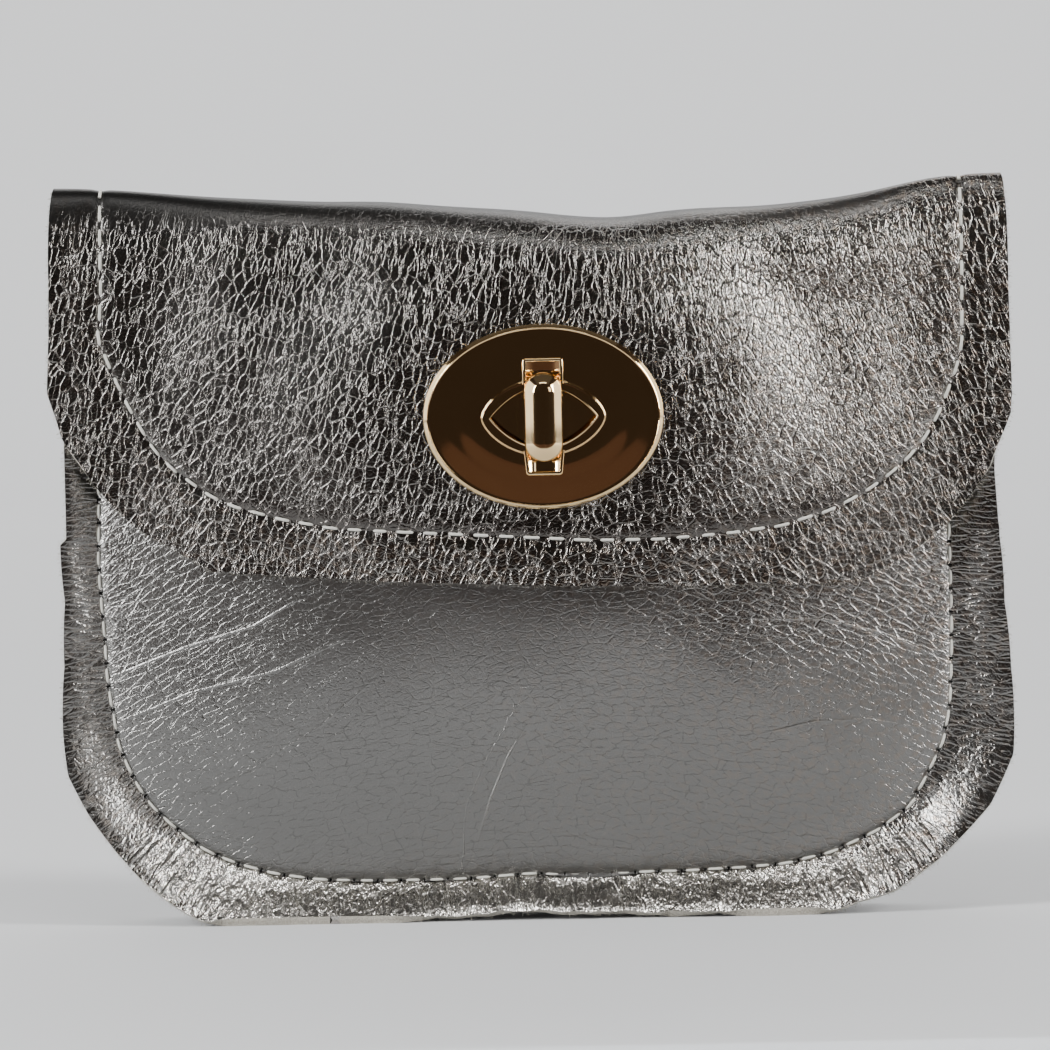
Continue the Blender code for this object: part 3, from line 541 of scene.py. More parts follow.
def foil_leather(name, looks, pitch, flap):
    """Pebbled leather under a metallic foil. The seam's puckers and needle holes follow its route.

    It reads what the skin's points carry: "flat", their place on the flat hide; "seam", how far they are along
    the seam, off it and outside it; "grain", how strong the grain is; "painted_light", where the foil is
    painted pale as painted light; and on the front "fold", the distances to its long creases.
    """
    finish = Finish(name, {"Metallic": 1.0})
    flat, grain = finish.attribute("flat"), finish.attribute("grain", "Fac")
    along, off, side = finish.xyz(finish.attribute("seam"))
    x, z, _ = finish.xyz(flat)
    # How far the foil is painted pale as painted light; its pebbles also swell more there
    painted_bright = finish.attribute("painted_light", "Fac")
    size, depth = looks.grain_size, looks.grain_depth
    plain = (1 - grain).math("MAXIMUM", 0.0)
    beyond = side.ramp(-0.4 * MM, 0.7 * MM)
    # Pebbles lean a little on the flap, and on the pocket they lie along arches over its middle
    if flap:
        lean = (z - 80 * MM) * (x.ramp(-10 * MM, 45 * MM) * 0.5 - 0.2)
        lay, cell = finish.vector(x + lean, z), (size * 0.72, size * 1.3)
    else:
        from_middle = x - 5 * MM
        lay, cell = finish.vector(x, z + from_middle * from_middle * 4.1), (size * 1.5, size * 0.62)
    line = creases(finish, lay, cell, looks.crease_width * (painted_bright * 1.2 + 1), size * 2.5, size)
    if flap:
        # Wrinkles that run down the flap, brighter and broader than the creases across it
        drawn = finish.noise(finish.vector(x + lean, z * 0.24), 1 / (size * 0.95), 3.0, 0.55)
        wrinkle = (drawn - 0.5).math("ABSOLUTE").ramp(0.018, 0.0)
        line = (line * 0.85).math("MAXIMUM", wrinkle * 0.8)
    else:
        # The margin's creases run out from the seam
        cell = (size * 0.44, size * 2.0)
        outwards = creases(finish, finish.vector(along, off), cell, 0.24, size * 2, size * 0.5)
        line = line * (1 - beyond) + outwards * beyond
    fine = creases(finish, lay, (size * 0.36, size * 0.4), 0.22, size, size * 0.3)
    broken = finish.noise(lay, 1 / (size * 0.55), 2.0, 0.65)
    patchy = finish.noise(flat, 1 / (size * 6), 3.0, 0.6)
    strength = grain * (patchy * 1.5 + 0.25)
    whole = (grain * 0.6).math("MINIMUM", 0.5)
    strength = strength * (broken.ramp(0.36, 0.62) * (1 - whole) + whole)
    swell = finish.noise(lay, 1 / (size * 0.9), 2.0, 0.55)
    dust = finish.noise(flat, 1 / (0.12 * MM), 2.0, 0.6)
    relief = (swell * (painted_bright * 4 + 0.7) - line) * strength * depth
    relief = relief - fine * (grain * 0.7 + 0.3) * (depth * 0.22)
    if not flap:
        # The smooth middle has fine broken cracks and a few long creases that stand up
        cracks = creases(finish, lay, (size * 1.5, size * 0.7), 0.06, size * 2, size)
        cracks = cracks * broken.ramp(0.38, 0.54) * plain
        folded, strong, twin = finish.xyz(finish.attribute("fold"))
        ridge = folded.math("ABSOLUTE").ramp(0.24 * MM, 0.0) * strong
        ridge = ridge + twin.math("ABSOLUTE").ramp(0.2 * MM, 0.0) * 0.5
        relief = relief - cracks * (depth * 0.3) + ridge * (0.12 * MM)
        relief = relief + margin_puckers(finish, along, off) * (
            side.ramp(0.2 * MM, 1.2 * MM) * z.ramp(13 * MM, 9 * MM) * 0.26 * MM
        )
    # The pull of each stitch: puckers on both sides of the seam and a small hole at each end of the stitch
    turn = (along * (2 * math.pi / pitch)).math("COSINE")
    relief = relief - turn * off.ramp(2.4 * MM, 0.3 * MM) * (0.07 * MM)
    hole = turn.ramp(-0.9, -1.0) * off.ramp(0.5 * MM, 0.15 * MM)
    relief = relief - hole * (0.25 * MM) - off.ramp(0.7 * MM, 0.0) * (0.1 * MM) + dust * (0.006 * MM)
    speck = finish.noise(flat, 1 / (1.1 * MM), 2.0).ramp(0.42, 0.7)
    wide = finish.noise(flat, 1 / (17 * MM), 2.0)
    warmth = speck * (0.4 + x * 6.0 + beyond * 0.5 + wide * 0.4).ramp(0.35, 1.1)
    color = finish.blend(warmth * (0.9 if flap else 0.45), looks.foil_color, looks.warm_color)
    if flap:
        # Painted shade: the flap's foil is painted darker, less where it is painted pale
        color = finish.blend((0.62 - painted_bright * 2).math("MAXIMUM", 0.0), color, DARK_FOIL)
        # Painted shade: the smooth roll of the fold is painted nearly black
        color = finish.blend(plain * 0.9, color, ROLL_PAINTED_SHADE)
    else:
        # Painted shade: the smooth pocket is painted darker towards its bottom, and the margins outside its
        # seam above their low part
        painted_pocket_shade = plain * (z.ramp(48 * MM, 14 * MM) * 0.5 + 0.1)
        painted_pocket_shade = painted_pocket_shade + beyond * z.ramp(10 * MM, 20 * MM) * 0.3
        color = finish.blend(painted_pocket_shade, color, POCKET_PAINTED_SHADE)
    # Painted light: the foil is painted pale
    color = finish.blend(painted_bright, color, PAINTED_LIGHT_FOIL)
    # Painted highlight: the creases are painted paler, less where the foil is already painted pale
    bright = ((0.75 if flap else 0.4) - painted_bright).math("MAXIMUM", 0.0)
    color = finish.blend(line * strength * bright, color, looks.crease_highlight_color)
    if flap:
        # Painted shade: where the foil is painted pale its creases are painted dark, and the leather is painted
        # dark inside the low seam
        low = off.ramp(4 * MM, 1 * MM) * side.ramp(0.2 * MM, -0.2 * MM) * z.ramp(68 * MM, 60 * MM)
        shade = line * painted_bright * 1.5 + low * 0.5
        color = finish.blend(shade.math("MINIMUM", 0.9), color, FLAP_PAINTED_SHADE)
    else:
        color = finish.blend(cracks * 0.55, color, CRACKED_FOIL)
    # Painted shade: the needle holes are painted near black
    finish.drive("Base Color", finish.blend(hole, color, NEEDLE_HOLE))
    finish.drive("Roughness", looks.foil_roughness + dust * 0.08 + plain * 0.12)
    return finish.bump(relief)


def margin_puckers(finish, along, off):
    """Height of the pleats and puckers that run out over the low margin, in shares of the deepest."""
    drift = finish.noise(finish.vector(along, off * 0.1), 1 / (4 * MM), 1.0)
    pleat = ((along * (1 / (1.7 * MM)) + drift * 5) * (2 * math.pi)).math("SINE") * 0.35 + 0.5
    pucker = finish.noise(finish.vector(along, off * 0.16), 1 / (1.5 * MM), 1.0)
    return pucker.ramp(0.3, 0.7) * 0.5 + pleat


def dimmed(color, share):
    """This share of a colour."""
    return tuple(channel * share for channel in color)


def suede(name, looks):
    """The napped flesh side of the leather, also seen on its cut edges."""
    finish = Finish(name, {"Specular IOR Level": 0.2, "Sheen Weight": 0.25, "Sheen Roughness": 0.6})
    place = finish.place()
    nap = finish.noise(place, 1 / (0.35 * MM), 4.0, 0.7)
    cloud = finish.noise(place, 1 / (9 * MM), 3.0)
    mottled = nap * 0.6 + cloud * 0.5
    color = finish.blend(mottled, dimmed(looks.suede_color, 0.62), looks.suede_color)
    finish.drive("Base Color", color)
    finish.drive("Roughness", 0.8 + nap * 0.2)
    return finish.bump(nap * (0.08 * MM))


def edge_finish(looks):
    """The raw cut edge, with pale and dark fibres."""
    finish = Finish("raw_edge", {"Specular IOR Level": 0.2, "Sheen Weight": 0.2})
    place = finish.place()
    fibre = finish.noise(place, 1 / (0.22 * MM), 4.0, 0.75)
    cloud = finish.noise(place, 1 / (5 * MM), 2.0)
    mottled = fibre.ramp(0.3, 0.72) * 0.7 + cloud * 0.3
    finish.drive("Base Color", finish.blend(mottled, dimmed(looks.edge_color, 0.42), looks.edge_color))
    finish.drive("Roughness", 0.78 + fibre * 0.2)
    return finish.bump(fibre * (0.12 * MM))


def thread_finish(looks):
    """Waxed thread with a fine fuzz."""
    finish = Finish("thread", {"Specular IOR Level": 0.35, "Sheen Weight": 0.15})
    fuzz = finish.noise(finish.place(), 1 / (0.08 * MM), 2.0)
    color = finish.blend(fuzz * 0.3 + 0.375, dimmed(looks.thread_color, 0.45), looks.thread_color)
    finish.drive("Base Color", color)
    finish.drive("Roughness", 0.55 + fuzz * 0.25)
    return finish.bump(fuzz * (0.01 * MM))


def metal_finish(name, color, roughness, scuff):
    """Plated metal: faint polishing marks and soft smears over a bright colour."""
    finish = Finish(name, {"Metallic": 1.0})
    place = finish.place()
    smear = finish.noise(place, 1 / (6 * MM), 3.0, 0.6)
    marks = finish.noise(finish.vector_math("MULTIPLY", place, (1, 1, 9)), 1 / (0.9 * MM), 3.0, 0.7)
    finish.drive("Base Color", finish.blend(smear, dimmed(color, 0.9), color))
    finish.drive("Roughness", roughness + smear * scuff + marks * (scuff * 0.6))
    return finish.bump(marks * (scuff * 0.01 * MM))


def metres(name, description, default):
    """A setting in metres."""
    return FloatProperty(name=name, description=description, default=default, unit="LENGTH")


def limited(name, description, default, low=0, high=1):
    """A setting between two limits."""
    return FloatProperty(name=name, description=description, default=default, min=low, max=high)


def degrees(name, description, value):
    """A setting in degrees, which Blender keeps in radians."""
    default = math.radians(value)
    return FloatProperty(name=name, description=description, default=default, subtype="ANGLE")


def tint(name, description, default):
    """A colour as a setting."""
    return FloatVectorProperty(name=name, description=description, default=default, subtype="COLOR")


class LeatherLooks(bpy.types.PropertyGroup):
    """Sizes and colours of the leather."""

    grain_size: metres("Grain size", "Width of one pebble of the grain", 1.7 * MM)
    grain_depth: metres("Grain depth", "Depth of the creases between pebbles", 0.085 * MM)
    crease_width: limited("Crease width", "Half width of a crease, as a share of a pebble", 0.09, 0.02, 0.5)
    foil_roughness: limited("Foil roughness", "Roughness of the metallic foil", 0.19)
    foil_color: tint("Foil", "Colour of the metallic foil", (0.25, 0.247, 0.24))
    warm_color: tint("Warm foil", "Colour of the foil's warmer patches", (0.36, 0.27, 0.20))
    # Painted highlight: the paler colour painted in the creases
    crease_highlight_color: tint("Crease", "Colour of the foil worn in the creases", (0.34, 0.32, 0.30))
    suede_color: tint("Suede", "Colour of the flesh side and the linings", (0.30, 0.28, 0.26))
    edge_color: tint("Raw edge", "Colour of the cut edge's fibres", (0.56, 0.53, 0.46))


class StitchLooks(bpy.types.PropertyGroup):
    """Sizes and colour of the stitches and of the loose fibres."""

    body_pitch: metres("Body pitch", "Length of one stitch and its gap round the pocket", 3.4 * MM)
    flap_pitch: metres("Flap pitch", "Length of one stitch and its gap round the flap", 3.6 * MM)
    shown_share: limited("Shown share", "Share of each stitch's pitch that lies on the leather", 0.66, 0.1)
    radius: metres("Thread radius", "Radius of the thread", 0.21 * MM)
    thread_color: tint("Thread", "Colour of the thread", (0.21, 0.195, 0.13))
    fibre_spacing: metres("Fibre spacing", "Distance between loose fibres along a raw edge", 0.22 * MM)
    fibre_length: metres("Fibre length", "Usual length of a loose fibre", 0.55 * MM)


class LockLooks(bpy.types.PropertyGroup):
    """Colours and smoothness of the lock."""

    gold_color: tint("Gold", "Colour of the plated metal", (0.90, 0.66, 0.36))
    gold_roughness: limited("Gold roughness", "Roughness of the plated metal", 0.06)
    sides: IntProperty(name="Sides", description="Sides of the plate's oval outline", default=144, min=24)


class StudioLooks(bpy.types.PropertyGroup):
    """The camera and the lights."""

    distance: metres("Distance", "From the camera to the purse", 0.75)
    elevation: degrees("Elevation", "Height of the camera's line of sight", 4)
    roll: degrees("Roll", "Turn of the picture", 1.1)
    view_width: metres("View width", "Width of the picture at the purse", 149.6 * MM)
    light: FloatProperty(name="Light", description="Strength of all the lamps", default=1.0, min=0)


def placed(name, data):
    """A new object of the scene."""
    made = bpy.data.objects.new(name, data)
    bpy.context.scene.collection.objects.link(made)
    return made


def shape_mesh(name, shape):
    """A mesh from a shape, which is freed."""
    mesh = bpy.data.meshes.new(name)
    shape.to_mesh(mesh)
    shape.free()
    return mesh


def sheet_object(name, points, fields, materials, thickness, hole=None):
    """A leather sheet round a grid of points, with its outer face forwards or upwards.

    Its materials are those of the outer face, of the inner face and of the cut edge.
    """
    rows, columns = points.shape[:2]
    mesh = bpy.data.meshes.new(name)
    index = np.arange(rows * columns).reshape(rows, columns)
    corners = [index[:-1, :-1], index[1:, :-1], index[1:, 1:], index[:-1, 1:]]
    faces = np.stack(corners, axis=-1).reshape(-1, 4)
    if hole is not None:
        points, inside = hole(points)
        faces = faces[~inside.reshape(-1)[faces].all(axis=1)]
    mesh.from_pydata(points.reshape(-1, 3).tolist(), [], faces.tolist())
    for label, values in fields.items():
        kind = "FLOAT" if values.ndim == 2 else "FLOAT_VECTOR"
        layer = mesh.attributes.new(label, kind, "POINT")
        layer.data.foreach_set("value" if kind == "FLOAT" else "vector", values.astype(np.float32).ravel())
    made = placed(name, mesh)
    tidy = bmesh.new()
    tidy.from_mesh(mesh)
    bmesh.ops.remove_doubles(tidy, verts=tidy.verts[:], dist=1e-6)
    loose = [corner for corner in tidy.verts if not corner.link_faces]
    bmesh.ops.delete(tidy, geom=loose, context="VERTS")
    tidy.to_mesh(mesh)
    tidy.free()
    for material in materials:
        mesh.materials.append(material)
    wall = made.modifiers.new("wall", "SOLIDIFY")
    wall.thickness = thickness
    wall.offset = 0
    wall.material_offset = 1
    wall.material_offset_rim = 2
    finish_mesh(made)
    return made


def finish_mesh(made, sharp=55):
    """Keeps what an object's modifiers give as its mesh, smooth between edges sharper than this angle."""
    graph = bpy.context.evaluated_depsgraph_get()
    final = bpy.data.meshes.new_from_object(made.evaluated_get(graph))
    final.name = made.name
    made.modifiers.clear()
    made.data = final
    final.shade_smooth()
    final.set_sharp_from_angle(angle=math.radians(sharp))


def oval_hole(half_width, half_height):
    """Gives the function that cuts an oval round the lock out of a grid."""

    def open_up(points):
        """The points, with the ones next to the oval moved onto it, and which of them lie inside it."""
        across, up = (points[..., 0] - LOCK_X) / half_width, (points[..., 2] - LOCK_Z) / half_height
        reach = np.hypot(across, up)
        inside = (reach < 1) & (points[..., 1] < MIDDLE_Y)
        ring = inside & ~surrounded(inside)
        moved = points.copy()
        scale = np.where(ring, 1 / np.maximum(reach, 1e-6), 1)
        moved[..., 0] = LOCK_X + (points[..., 0] - LOCK_X) * scale
        moved[..., 2] = LOCK_Z + (points[..., 2] - LOCK_Z) * scale
        return moved, inside

    return open_up


def surrounded(inside):
    """Which points have all eight neighbours inside too."""
    padded = np.pad(inside, 1)
    rows, columns = inside.shape
    result = np.ones_like(inside)
    for down in range(3):
        for across in range(3):
            result &= padded[down : down + rows, across : across + columns]
    return result


def back_face(x, z, pocket, margin, depth):
    """Points of a body layer behind the pocket's middle, at this depth from it."""
    return np.stack([x, MIDDLE_Y + depth + back_bulge(z, pocket, margin), z], axis=-1)


def front_face(x, z, pocket, margin, depth):
    """The same, ahead of the middle."""
    return np.stack([x, MIDDLE_Y - depth - front_bulge(x, z, pocket, margin), z], axis=-1)


def at_x(rows, x):
    """The point at this x on each row of a grid."""
    return np.array([[np.interp(x, row[:, 0], row[:, axis]) for axis in range(3)] for row in rows])


def back_and_flap():
    """Points of the back, up from its lower edge, of the fold, and of the flap, down to its lower edge."""
    x, z, pocket, margin = body_grid(BACK_TOP, BACK_ROWS)
    back = back_face(x, z, pocket, margin, PANEL_STACK - LEATHER / 2)[::-1]
    roll, hang = roll_points(), flap_points(*flap_grid())
    return back, roll, hang


def loop_route(roll):
    """The one line of the back's and the flap's seam, from the middle of the back's lower edge and back."""
    rows = table(BODY_SEAM) * MM
    rows = rows[rows[:, 1] < BACK_TOP]
    low = int(np.argmin(np.abs(rows[:, 0])))
    depth = MIDDLE_Y + PANEL_STACK - LEATHER / 2
    left, right = (np.insert(part, 1, depth, axis=1) for part in (rows[: low + 1][::-1], rows[low:]))
    flap = flap_points(*(table(FLAP_SEAM) * MM).T)
    over_right, over_left = at_x(roll, flap[-1, 0]), at_x(roll, flap[0, 0])
    route = [right, over_right, flap[::-1], over_left[::-1], left[::-1]]
    return resampled(np.concatenate(route), ROUTE_STEP)


def front_route():
    """The front's own row of stitches, from the top left round to the top right."""
    rows = table(BODY_SEAM) * MM
    rows = rows[rows[:, 1] < MOUTH]
    depth = MIDDLE_Y - PANEL_STACK + LEATHER / 2
    return resampled(np.insert(rows, 1, depth, axis=1), ROUTE_STEP)


def even_pitch(route, pitch):
    """The pitch nearest to the wanted one that divides a route into whole stitches."""
    length = route_length(route)
    return length / round(length / pitch)


def pulled_in(along, off, pitch):
    """How the stitches pull the leather: a valley, deepest at each needle hole, and puckers beside it."""
    turn = np.cos(2 * math.pi * along / pitch)
    valley = hump(off, 0.8 * MM) * (0.12 + 0.08 * (1 - turn)) * MM
    pucker = hump(off, 2.4 * MM) * smooth(off / (1.2 * MM)) * turn * 0.06 * MM
    return pucker - valley


def hump(away, width):
    """1 in the middle, and less and less away from it."""
    return np.exp(-((away / width) ** 2))


def dents(x, z, rows):
    """Soft hollows and swellings. A row is x, z, half width, half height, turn in degrees, and height."""
    total = np.zeros_like(x)
    for middle_x, middle_z, wide, high, turn, height in rows:
        cosine, sine = math.cos(math.radians(turn)), math.sin(math.radians(turn))
        across, up = x - middle_x * MM, z - middle_z * MM
        reach = ((across * cosine + up * sine) / wide) ** 2
        reach = reach + ((up * cosine - across * sine) / high) ** 2
        total += height * MM * np.exp(-reach / MM**2)
    return total


FLAP_DENTS = (
    (50, 97, 12, 6, 10, 0.5), (45, 88, 13, 3, -12, -0.5), (19, 84, 5, 20, 0, -0.2),
    (28, 86, 6, 16, 8, 0.15), (-40, 82, 12, 16, 20, 0.35), (-14, 92, 7, 8, 0, -0.3),
    (-58, 75, 5, 14, 20, 0.3), (52, 70, 9, 12, 30, 0.3),
)
# Where the flap's foil is painted pale as painted glare, in the same way
FLAP_GLARE = ((53, 97, 11, 8, 0, 1), (28, 92, 9, 7, 0, 0.7))


def beyond_flap_seam(x, z):
    """1 outside the flap's seam and -1 inside it."""
    seam_x, seam_z = (table(FLAP_SEAM) * MM).T
    turns = np.arctan2(MOUTH - seam_z, seam_x)
    order = np.argsort(turns)
    seam = np.interp(np.arctan2(MOUTH - z, x), turns[order], np.hypot(seam_x, MOUTH - seam_z)[order])
    return np.where(np.hypot(x, MOUTH - z) > seam, 1, -1)


def clear_of_lock(x, z, start, length):
    """0 near the lock's plate, 1 away from it."""
    reach = np.hypot((x - LOCK_X) / PLATE_HALF[0], (z - LOCK_Z) / PLATE_HALF[1])
    return smooth((reach - start) / length)


def back_and_flap_skins(looks, pitch):
    """The back's skin and the fold and flap's, both from one grid, where the thread lies, and the grid."""
    back, roll, hang = back_and_flap()
    points = np.concatenate([back, roll, hang])
    first = len(back) + len(roll)
    normals = grid_normals(points)
    route = loop_route(roll)
    along, off = seam_frame(points, route)
    x, z = points[..., 0], points[..., 2]
    # Height on the flat hide: z on the hanging flap, and above it on over the fold and down the back
    travel = np.linalg.norm(np.diff(points, axis=0), axis=2)[::-1].cumsum(axis=0)[::-1]
    travel = np.concatenate([travel, np.zeros_like(travel[:1])])
    hanging = np.arange(len(points))[:, None] >= first
    height = np.where(hanging, z, MOUTH + travel - travel[first])
    on_front = smooth((MIDDLE_Y - 2 * MM - points[..., 1]) / (8 * MM))
    sway = ripples(x, height, 26 * MM, 3) * 0.14 + ripples(x, height, 11 * MM, 4) * 0.05
    sway = (sway + 0.2) * MM + dents(x, height, FLAP_DENTS)
    outside = np.where(body_grid(BACK_TOP, BACK_ROWS)[3] > 0, 1, -1)[::-1]
    over = np.repeat(outside[-1:], len(roll), axis=0)
    outside = np.concatenate([outside, over, beyond_flap_seam(hang[..., 0], hang[..., 2])])
    pillow = hump(off - 2.6 * MM, 1.7 * MM) * 0.3 * MM * (outside < 0)
    pillow = pillow * smooth((np.abs(x) - 42 * MM) / (12 * MM))
    sway = sway * on_front * clear_of_lock(x, z, 1.1, 0.5)
    lift = sway + pillow * on_front + pulled_in(along, off, pitch)
    # The fold's smooth roll: its grain fades here, and the flap's finish paints it nearly black as painted
    # shade
    smooth_roll = smooth((height - 97 * MM) / (8 * MM)) * smooth((114 * MM - height) / (4 * MM))
    smooth_roll = smooth_roll * smooth((60 * MM - x) / (18 * MM))
    # Painted light: the flap's right half and its glare patches are painted pale
    painted_bright = 0.42 * smooth((x - 14 * MM) / (30 * MM)) * smooth((height - 55 * MM) / (20 * MM))
    painted_bright = painted_bright + 0.55 * dents(x, height, FLAP_GLARE) / MM
    fields = {
        "flat": np.stack([x, height, 0 * x], axis=-1),
        "seam": np.stack([along, off, off * outside], axis=-1),
        "grain": 0.85 + 0.15 * on_front - 0.8 * smooth_roll,
        "painted_light": np.minimum(painted_bright, 0.85) * on_front * np.where(outside > 0, 0.4, 1),
    }
    leather = foil_leather("pewter_flap", looks, pitch, True)
    materials = [leather, suede("suede_inside", looks), edge_finish(looks)]
    moved = points + normals * lift[..., None]
    moved[..., 2] = np.maximum(moved[..., 2], LEATHER / 2)
    cut = len(back) + CUT_ROW
    low = {label: values[: cut + 1] for label, values in fields.items()}
    high = {label: values[cut:] for label, values in fields.items()}
    behind = sheet_object("back_skin", moved[: cut + 1], low, materials, LEATHER)
    over = sheet_object("flap_skin", moved[cut:], high, materials, LEATHER, oval_hole(*FLAP_HOLE))
    return behind, over, on_surface(route, points, normals, sway), moved


def fold_field(x, z, folds):
    """Signed distance to the nearest of some long creases, and how strong that crease is there."""
    gap, side, strength = np.full_like(x, 1.0), np.ones_like(x), np.zeros_like(x)
    for weight, rows in folds:
        line = table(rows) * MM
        line = resampled(np.column_stack([line[:, 0], 0 * line[:, 0], line[:, 1]]), 0.2 * MM)[:, [0, 2]]
        offset = np.stack([x, z], axis=-1)[..., None, :] - line
        nearest = (offset**2).sum(axis=-1).argmin(axis=-1)
        offset = np.take_along_axis(offset, nearest[..., None, None], axis=-2)[..., 0, :]
        heading = np.gradient(line, axis=0)[nearest]
        turn = heading[..., 0] * offset[..., 1] - heading[..., 1] * offset[..., 0]
        near = np.hypot(offset[..., 0], offset[..., 1])
        closer = near < gap
        gap, side = np.where(closer, near, gap), np.where(closer, np.sign(turn), side)
        fade = np.sin(np.pi * (nearest + 1) / (len(line) + 1)) ** 0.5
        strength = np.where(closer, weight * fade, strength)
    return gap * side, strength * (gap < 4 * MM)


# Long creases of the front, each with its strength and its (x, z) in millimetres
FRONT_FOLDS = (
    (1.0, ((-2.0, 28.2), (-4.7, 23.8), (-7.4, 17.3), (-9.4, 10.9))),
    (0.5, ((30.9, 26.2), (39.3, 27.8), (47, 27.9), (55.5, 26))),
    (0.9, ((-61.6, 35.7), (-50.7, 40), (-40.7, 43.1), (-34, 47))),
    (0.7, ((-61, 29), (-50, 33.5), (-38, 36.5), (-27, 41.5))),
    (0.5, ((-54, 17), (-42, 22), (-31, 29), (-24, 35))),
    (0.4, ((58, 36), (50, 40), (41, 42.5), (30, 43))),
)
TWIN_FOLD = ((1.0, ((-3.8, 30.5), (-8.5, 21.9), (-10.9, 16.1), (-11.6, 7.4))),)


def front_skin(looks, pitch):
    """The puffed front of the pocket with its raw margins, where its thread lies, and its grid."""
    x, z, pocket, margin = body_grid(MOUTH, FRONT_ROWS)
    points = front_face(x, z, pocket, margin, PANEL_STACK - LEATHER / 2)
    normals = grid_normals(points)
    route = front_route()
    along, off = seam_frame(points, route)
    low = smooth((60 * MM - z) / (12 * MM))
    sway = ripples(x, z, 22 * MM, 8) * 0.07 * MM * clear_of_lock(x, z, 1.2, 0.6) * low
    sway = sway * smooth(1 - pocket**6)
    outer = margin > 0
    sway = sway + ripples(along, 0 * along, 9 * MM, 5) * 0.3 * MM * smooth(margin) * low
    # Ridges that run out over the middle of the low margin
    ridges = np.cos(2 * math.pi * (x + ripples(x, z, 8 * MM, 6) * 1.2 * MM) / (5.2 * MM))
    ridged = outer * smooth(margin * 3) * smooth((12 * MM - z) / (5 * MM))
    ridged = ridged * smooth(1.4 - np.abs(x - 6 * MM) / (26 * MM))
    sway = sway + 0.3 * MM * ridges * ridged
    moved = points + normals * (sway + pulled_in(along, off, pitch))[..., None]
    moved[..., 2] = np.maximum(moved[..., 2], LEATHER / 2)
    rough_right = smooth((x + 5 * MM) / (40 * MM)) * smooth((z - 30 * MM) / (14 * MM))
    rough_left = smooth((-x - 30 * MM) / (22 * MM)) * smooth((z - 16 * MM) / (24 * MM))
    grain = 0.24 + 0.6 * rough_right + 0.3 * rough_left + 0.25 * smooth((pocket - 0.88) / 0.1)
    folded, fold_strength = fold_field(x, z, FRONT_FOLDS)
    twin, twin_strength = fold_field(x, z, TWIN_FOLD)
    twin = twin + np.sign(twin) * (1 - twin_strength) * 0.5 * MM
    # Painted light: the low margin is painted pale
    painted_bright = 0.75 * outer * smooth((16 * MM - z) / (11 * MM)) * smooth(2 - np.abs(x + 6 * MM) / (34 * MM))
    fields = {
        "fold": np.stack([folded, fold_strength, twin], axis=-1),
        "flat": np.stack([x, z, 0 * x], axis=-1),
        "seam": np.stack([along, off, np.where(outer, off, -off)], axis=-1),
        "grain": np.where(outer, 0.85 + 0.8 * smooth((14 * MM - z) / (8 * MM)), np.clip(grain, 0, 1)),
        "painted_light": painted_bright,
    }
    leather = foil_leather("pewter_front", looks, pitch, False)
    materials = [leather, bpy.data.materials["suede_inside"], bpy.data.materials["raw_edge"]]
    made = sheet_object("front_skin", moved, fields, materials, LEATHER, oval_hole(*FRONT_HOLE))
    return made, on_surface(route, points, normals, sway), moved


